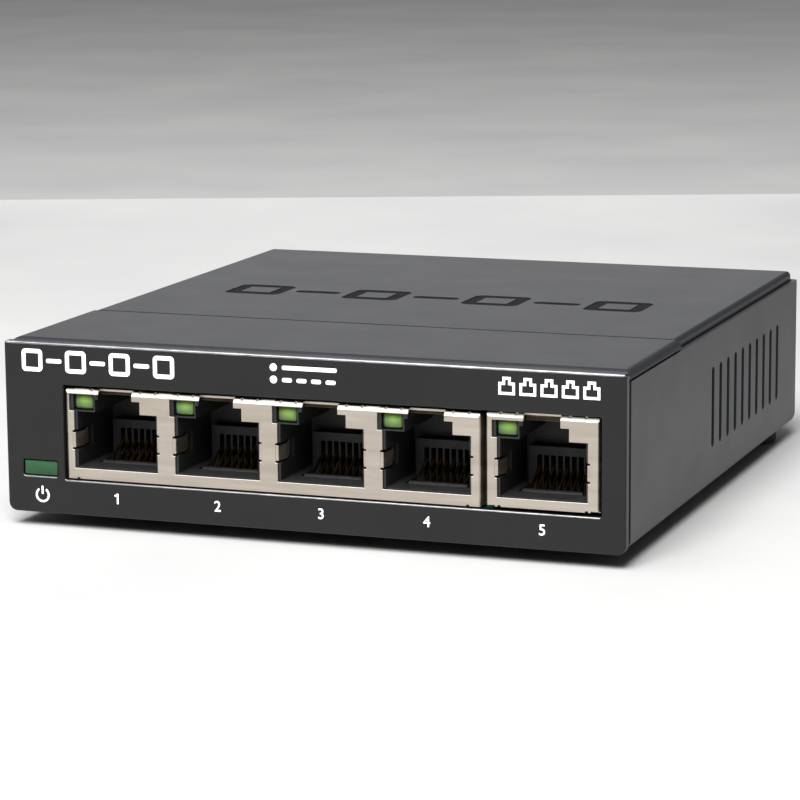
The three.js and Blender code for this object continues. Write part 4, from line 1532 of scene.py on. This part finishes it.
@dataclass
class ContactSet:
    """Eight bent spring wires in a moulded root bar that they turn with."""

    number: int
    x: float
    pivot_y: float = -45.0
    pivot_z: float = 6.55
    count: int = 8
    pitch: float = 1.02
    wire: float = 0.45
    bend: float = 0.9
    root_radius: float = 0.55
    root_half: float = 4.4

    def build(self, trees: Trees) -> None:
        """Builds the wires and the root bar."""
        body = Body.CONTACTS.value.format(self.number)
        first = self.x - (self.count - 1) / 2 * self.pitch
        rise = [(-0.3, 0.0), (0.45, 0.05), (3.6, 1.72), (6.0, 3.0), (6.5, 3.15)]
        path = [(0, self.pivot_y + y, self.pivot_z + z) for y, z in rise]
        wires = grow(
            path_object(f"contact_wires_{self.number}", path), trees.wire, Width=self.wire,
            Bend=self.bend, Count=self.count, Start=(first, 0.0, 0.0), Step=(self.pitch, 0.0, 0.0),
            Finish=GOLD_WIRE.build(),
        )
        close_up(wires, flat=False)
        hand_over(wires, GOLD_WIRE, body, (f"contact_comb_{self.number}",))
        outline = disc(self.pivot_y, self.pivot_z, self.root_radius, 20)
        ends = (self.x - self.root_half, self.x + self.root_half)
        bar = slab(f"contact_root_{self.number}", [outline], Axis.X, *ends)
        hand_over(soften(bar, 0.12, angle=50), MOULDED_NYLON, body)


@dataclass
class PortLight:
    """Indicator block with a softly domed front."""

    number: int
    x: float
    left: float = -6.7
    width: float = 2.95
    bottom: float = 15.32
    height: float = 2.28
    front: float = -49.55
    depth: float = 5.8
    dome: float = 0.3
    cells: int = 9

    def build(self) -> None:
        """Builds the block and paints light across its front: highlight and shade."""
        left, rim = self.x + self.left, self.front + self.dome
        outline = rounded(
            (left, self.bottom), (left + self.width, self.bottom + self.height), 0.45, 5
        )
        lens = slab(f"port_light_{self.number}", [outline], Axis.Y, rim, self.front + self.depth)
        soften(lens, 0.25, 3, front_edges(rim))
        cells = range(1, self.cells)
        score(lens, Axis.X, [left + self.width * k / self.cells for k in cells])
        score(lens, Axis.Z, [self.bottom + self.height * k / self.cells for k in cells])

        def spot(place: Vector) -> Point:
            """Where a point lies across and up the front, each from -1 to 1."""
            across = 2 * (place.x - left) / self.width - 1
            return across, 2 * (place.z - self.bottom) / self.height - 1

        for vertex in lens.data.vertices:
            u, v = spot(vertex.co)
            if vertex.co.y < rim + 0.05:
                vertex.co.y -= self.dome * max(1 - u * u, 0.0) * max(1 - v * v, 0.0)

        def glow(place: Vector) -> float:
            """Painted highlight brightest a little up and right of the middle, fading outwards into
            painted shade.
            """
            u, v = spot(place)
            return 1.25 - math.hypot(u - 0.15, 0.9 * (v - 0.3))

        light_up(lens, glow)
        hand_over(lens, LIGHT_GUIDE, nodes=[f"port_led_{self.number}"])


# ---- Power light and inlet ----


@dataclass
class PowerLight:
    """Light pipe in the panel with the light behind it."""

    def build(self) -> None:
        """Builds the pipe and dresses the light."""
        low, high = cad_box("power_light_pipe")
        outline = rounded((low.x, low.z), (high.x, high.z), 0.2, 3)
        pipe = slab("power_light_lens", [outline], Axis.Y, low.y, high.y)
        soften(pipe, 0.16, 3, front_edges(low.y))
        # The top 0.3 mm of the lens is coloured brighter: painted light.
        light_up(pipe, lambda place: float(place.z > high.z - 0.3))
        hand_over(pipe, LENS_PIPE, nodes=["power_light_pipe"])
        led = refined_copy("power_led_lamp", "power_led", 0.08)
        hand_over(led, WHITE_LED, nodes=["power_led"])


@dataclass
class PowerInlet:
    """Barrel power socket behind the rear wall."""

    def build(self) -> None:
        """Builds the body, the pin and the leaf."""
        body = refined_copy("inlet_body", "dc_jack_body", 0.15)
        hand_over(body, MOULDED_NYLON, nodes=["dc_jack_body"])
        low, high = cad_box("dc_jack_pin")
        radius = (high.x - low.x) / 2
        length = high.y - low.y
        profile = [(0, 0), (radius, 0), (radius, length - 0.6), (radius * 0.8, length - 0.15)]
        profile += [(radius * 0.45, length), (0, length)]
        centre = ((low.x + high.x) / 2, low.y, (low.z + high.z) / 2)
        pin = turned("inlet_pin", profile, Axis.Y, centre, 32)
        hand_over(pin, BRIGHT_ZINC, nodes=["dc_jack_pin"])
        leaf = refined_copy("inlet_leaf", "dc_jack_spring", 0.06)
        hand_over(leaf, BRIGHT_ZINC, Body.INLET.value, ("dc_jack_spring",))


# ---- Circuit board ----


@dataclass
class CircuitBoard:
    """Laminate with everything that stands on it."""

    def build(self) -> None:
        """Builds the board's pieces."""
        pieces = {
            "circuit_board": (0.08, LAMINATE, Slot.BOARD),
            "switch_chip": (0.08, MOULD_COMPOUND, Slot.CHIP),
            "memory_chip": (0.06, MOULD_COMPOUND, Slot.CHIP),
            "thermal_pad": (0.08, SILICONE_PAD, Slot.SILICONE),
            "heat_sink": (0.12, EXTRUDED_ALUMINIUM, Slot.ALUMINIUM),
            "crystal": (0.25, BRIGHT_ZINC, Slot.STEEL),
            "input_fuse": (0.1, MOULD_COMPOUND, Slot.CHIP),
            "protection_diode": (0.1, MOULD_COMPOUND, Slot.CHIP),
        }
        pieces |= {f"board_screw_{n}": (0.08, BRIGHT_ZINC, Slot.STEEL) for n in range(1, 5)}
        pieces |= {f"port_transformer_{n}": (0.1, MOULD_COMPOUND, Slot.CHIP) for n in range(1, 6)}
        pieces |= {f"bulk_capacitor_{n}": (0.1, EXTRUDED_ALUMINIUM, Slot.ALUMINIUM) for n in (1, 2)}
        pieces |= {f"power_inductor_{n}": (0.12, MOULD_COMPOUND, Slot.CHIP) for n in (1, 2)}
        pieces |= {f"regulator_chip_{n}": (0.06, MOULD_COMPOUND, Slot.CHIP) for n in (1, 2)}
        for node, (edge, finish, slot) in pieces.items():
            hand_over(refined_copy(f"{node}_finished", node, edge, 1), finish, nodes=[node])


# ---- Studio ----


@dataclass(frozen=True)
class Softbox:
    """A square area light aimed at the object."""

    name: str
    azimuth: float
    elevation: float
    distance: float
    size: float
    watts: float
    seen_in_gloss: bool = True

    def build(self, target: Vector) -> None:
        """Hangs the light and aims it at the target."""
        lamp = bpy.data.lights.new(self.name, "AREA")
        lamp.shape = "SQUARE"
        lamp.size = self.size
        lamp.energy = self.watts
        obj = new_object(self.name, lamp)
        obj.visible_glossy = self.seen_in_gloss
        direction = direction_to(self.azimuth, self.elevation)
        obj.location = target + direction * self.distance
        obj.rotation_euler = direction.to_track_quat("Z", "Y").to_euler()


def direction_to(azimuth: float, elevation: float) -> Vector:
    """Unit vector towards a viewer: azimuth from the front towards +X, degrees."""
    a, e = math.radians(azimuth), math.radians(elevation)
    return Vector((math.sin(a) * math.cos(e), -math.cos(a) * math.cos(e), math.sin(e)))


@dataclass
class Studio:
    """Floor, light and camera."""

    azimuth: float = 20.21
    elevation: float = 10.62
    roll: float = -0.46
    distance: float = 0.49956
    lens: float = 144.48
    aim: tuple[float, float, float] = (-0.00369, -0.00165, 0.01233)
    world_tone: str = "#dcdcdc"
    world_strength: float = 0.2
    lights: tuple[Softbox, ...] = (
        Softbox("overhead_softbox", -28.0, 70.0, 0.6, 0.4, 2.4),
        Softbox("rear_softbox", 200.0, 17.0, 0.34, 0.25, 0.13),
        Softbox("front_strip", 6.0, 40.0, 1.2, 0.5, 4.2),
        Softbox("front_fill", 6.0, 52.0, 1.4, 0.8, 44.0, seen_in_gloss=False),
    )

    def build(self) -> None:
        """Builds the whole studio."""
        self.floor()
        self.world()
        target = Vector(self.aim)
        for light in self.lights:
            light.build(target)
        self.camera(target)

    def floor(self) -> None:
        """Wide pale board under the object."""
        bm = bmesh.new()
        bmesh.ops.create_grid(bm, x_segments=8, y_segments=8, size=5.0)
        floor = from_bmesh("studio_floor", bm)
        floor.data.materials.append(STUDIO_BOARD.build())

    def world(self) -> None:
        """Even soft light from all round."""
        world = bpy.data.worlds.new("studio_world")
        world.use_nodes = True
        world.node_tree.nodes.clear()
        light = add_node(
            world.node_tree, "ShaderNodeBackground",
            inputs={"Color": to_linear(self.world_tone), "Strength": self.world_strength},
        )
        add_node(world.node_tree, "ShaderNodeOutputWorld", inputs={"Surface": light.outputs[0]})
        bpy.context.scene.world = world

    def camera(self, target: Vector) -> None:
        """Long-lens camera from the front right, a little above."""
        data = bpy.data.cameras.new("studio_camera")
        data.sensor_width = 36.0
        data.lens = self.lens
        data.clip_start = 0.01
        camera = new_object("studio_camera", data)
        back = direction_to(self.azimuth, self.elevation)
        level = Vector((0, 0, 1)).cross(back).normalized()
        upright = back.cross(level)
        turn = math.radians(self.roll)
        right = level * math.cos(turn) + upright * math.sin(turn)
        up = back.cross(right)
        spin = Matrix((right, up, back)).transposed().to_4x4()
        camera.matrix_world = Matrix.Translation(target + back * self.distance) @ spin
        bpy.context.scene.camera = camera
        bpy.context.scene.view_settings.view_transform = "Standard"


# ---- The whole object ----


def main() -> None:
    """Builds the sub-assemblies in order."""
    logging.basicConfig(level=logging.INFO, format="%(name)s %(message)s")
    trees = Trees(row_tree(), wire_tree())
    Case().build(trees)
    panel = FrontPanel()
    panel.build()
    ganged, single = panel.ports[:GANGED], panel.ports[GANGED:]
    lands = [tuple(x + end for end in LAND_BEFORE_PORT) for x in ganged[1:]] + [FIRST_LAND]
    JackBank("gang", -37.62, 25.9, 5.1, 18.4, ganged, PortOpening(), lands=tuple(lands)).build()
    JackBank("single", 26.68, 43.13, 5.35, 18.7, single, PortOpening(), foot_cut=1.3).build()
    for number, x in enumerate(panel.ports, 1):
        ContactSet(number, x).build(trees)
        PortLight(number, x).build()
    PowerLight().build()
    PowerInlet().build()
    CircuitBoard().build()
    Studio().build()


if __name__ == "__main__":
    main()
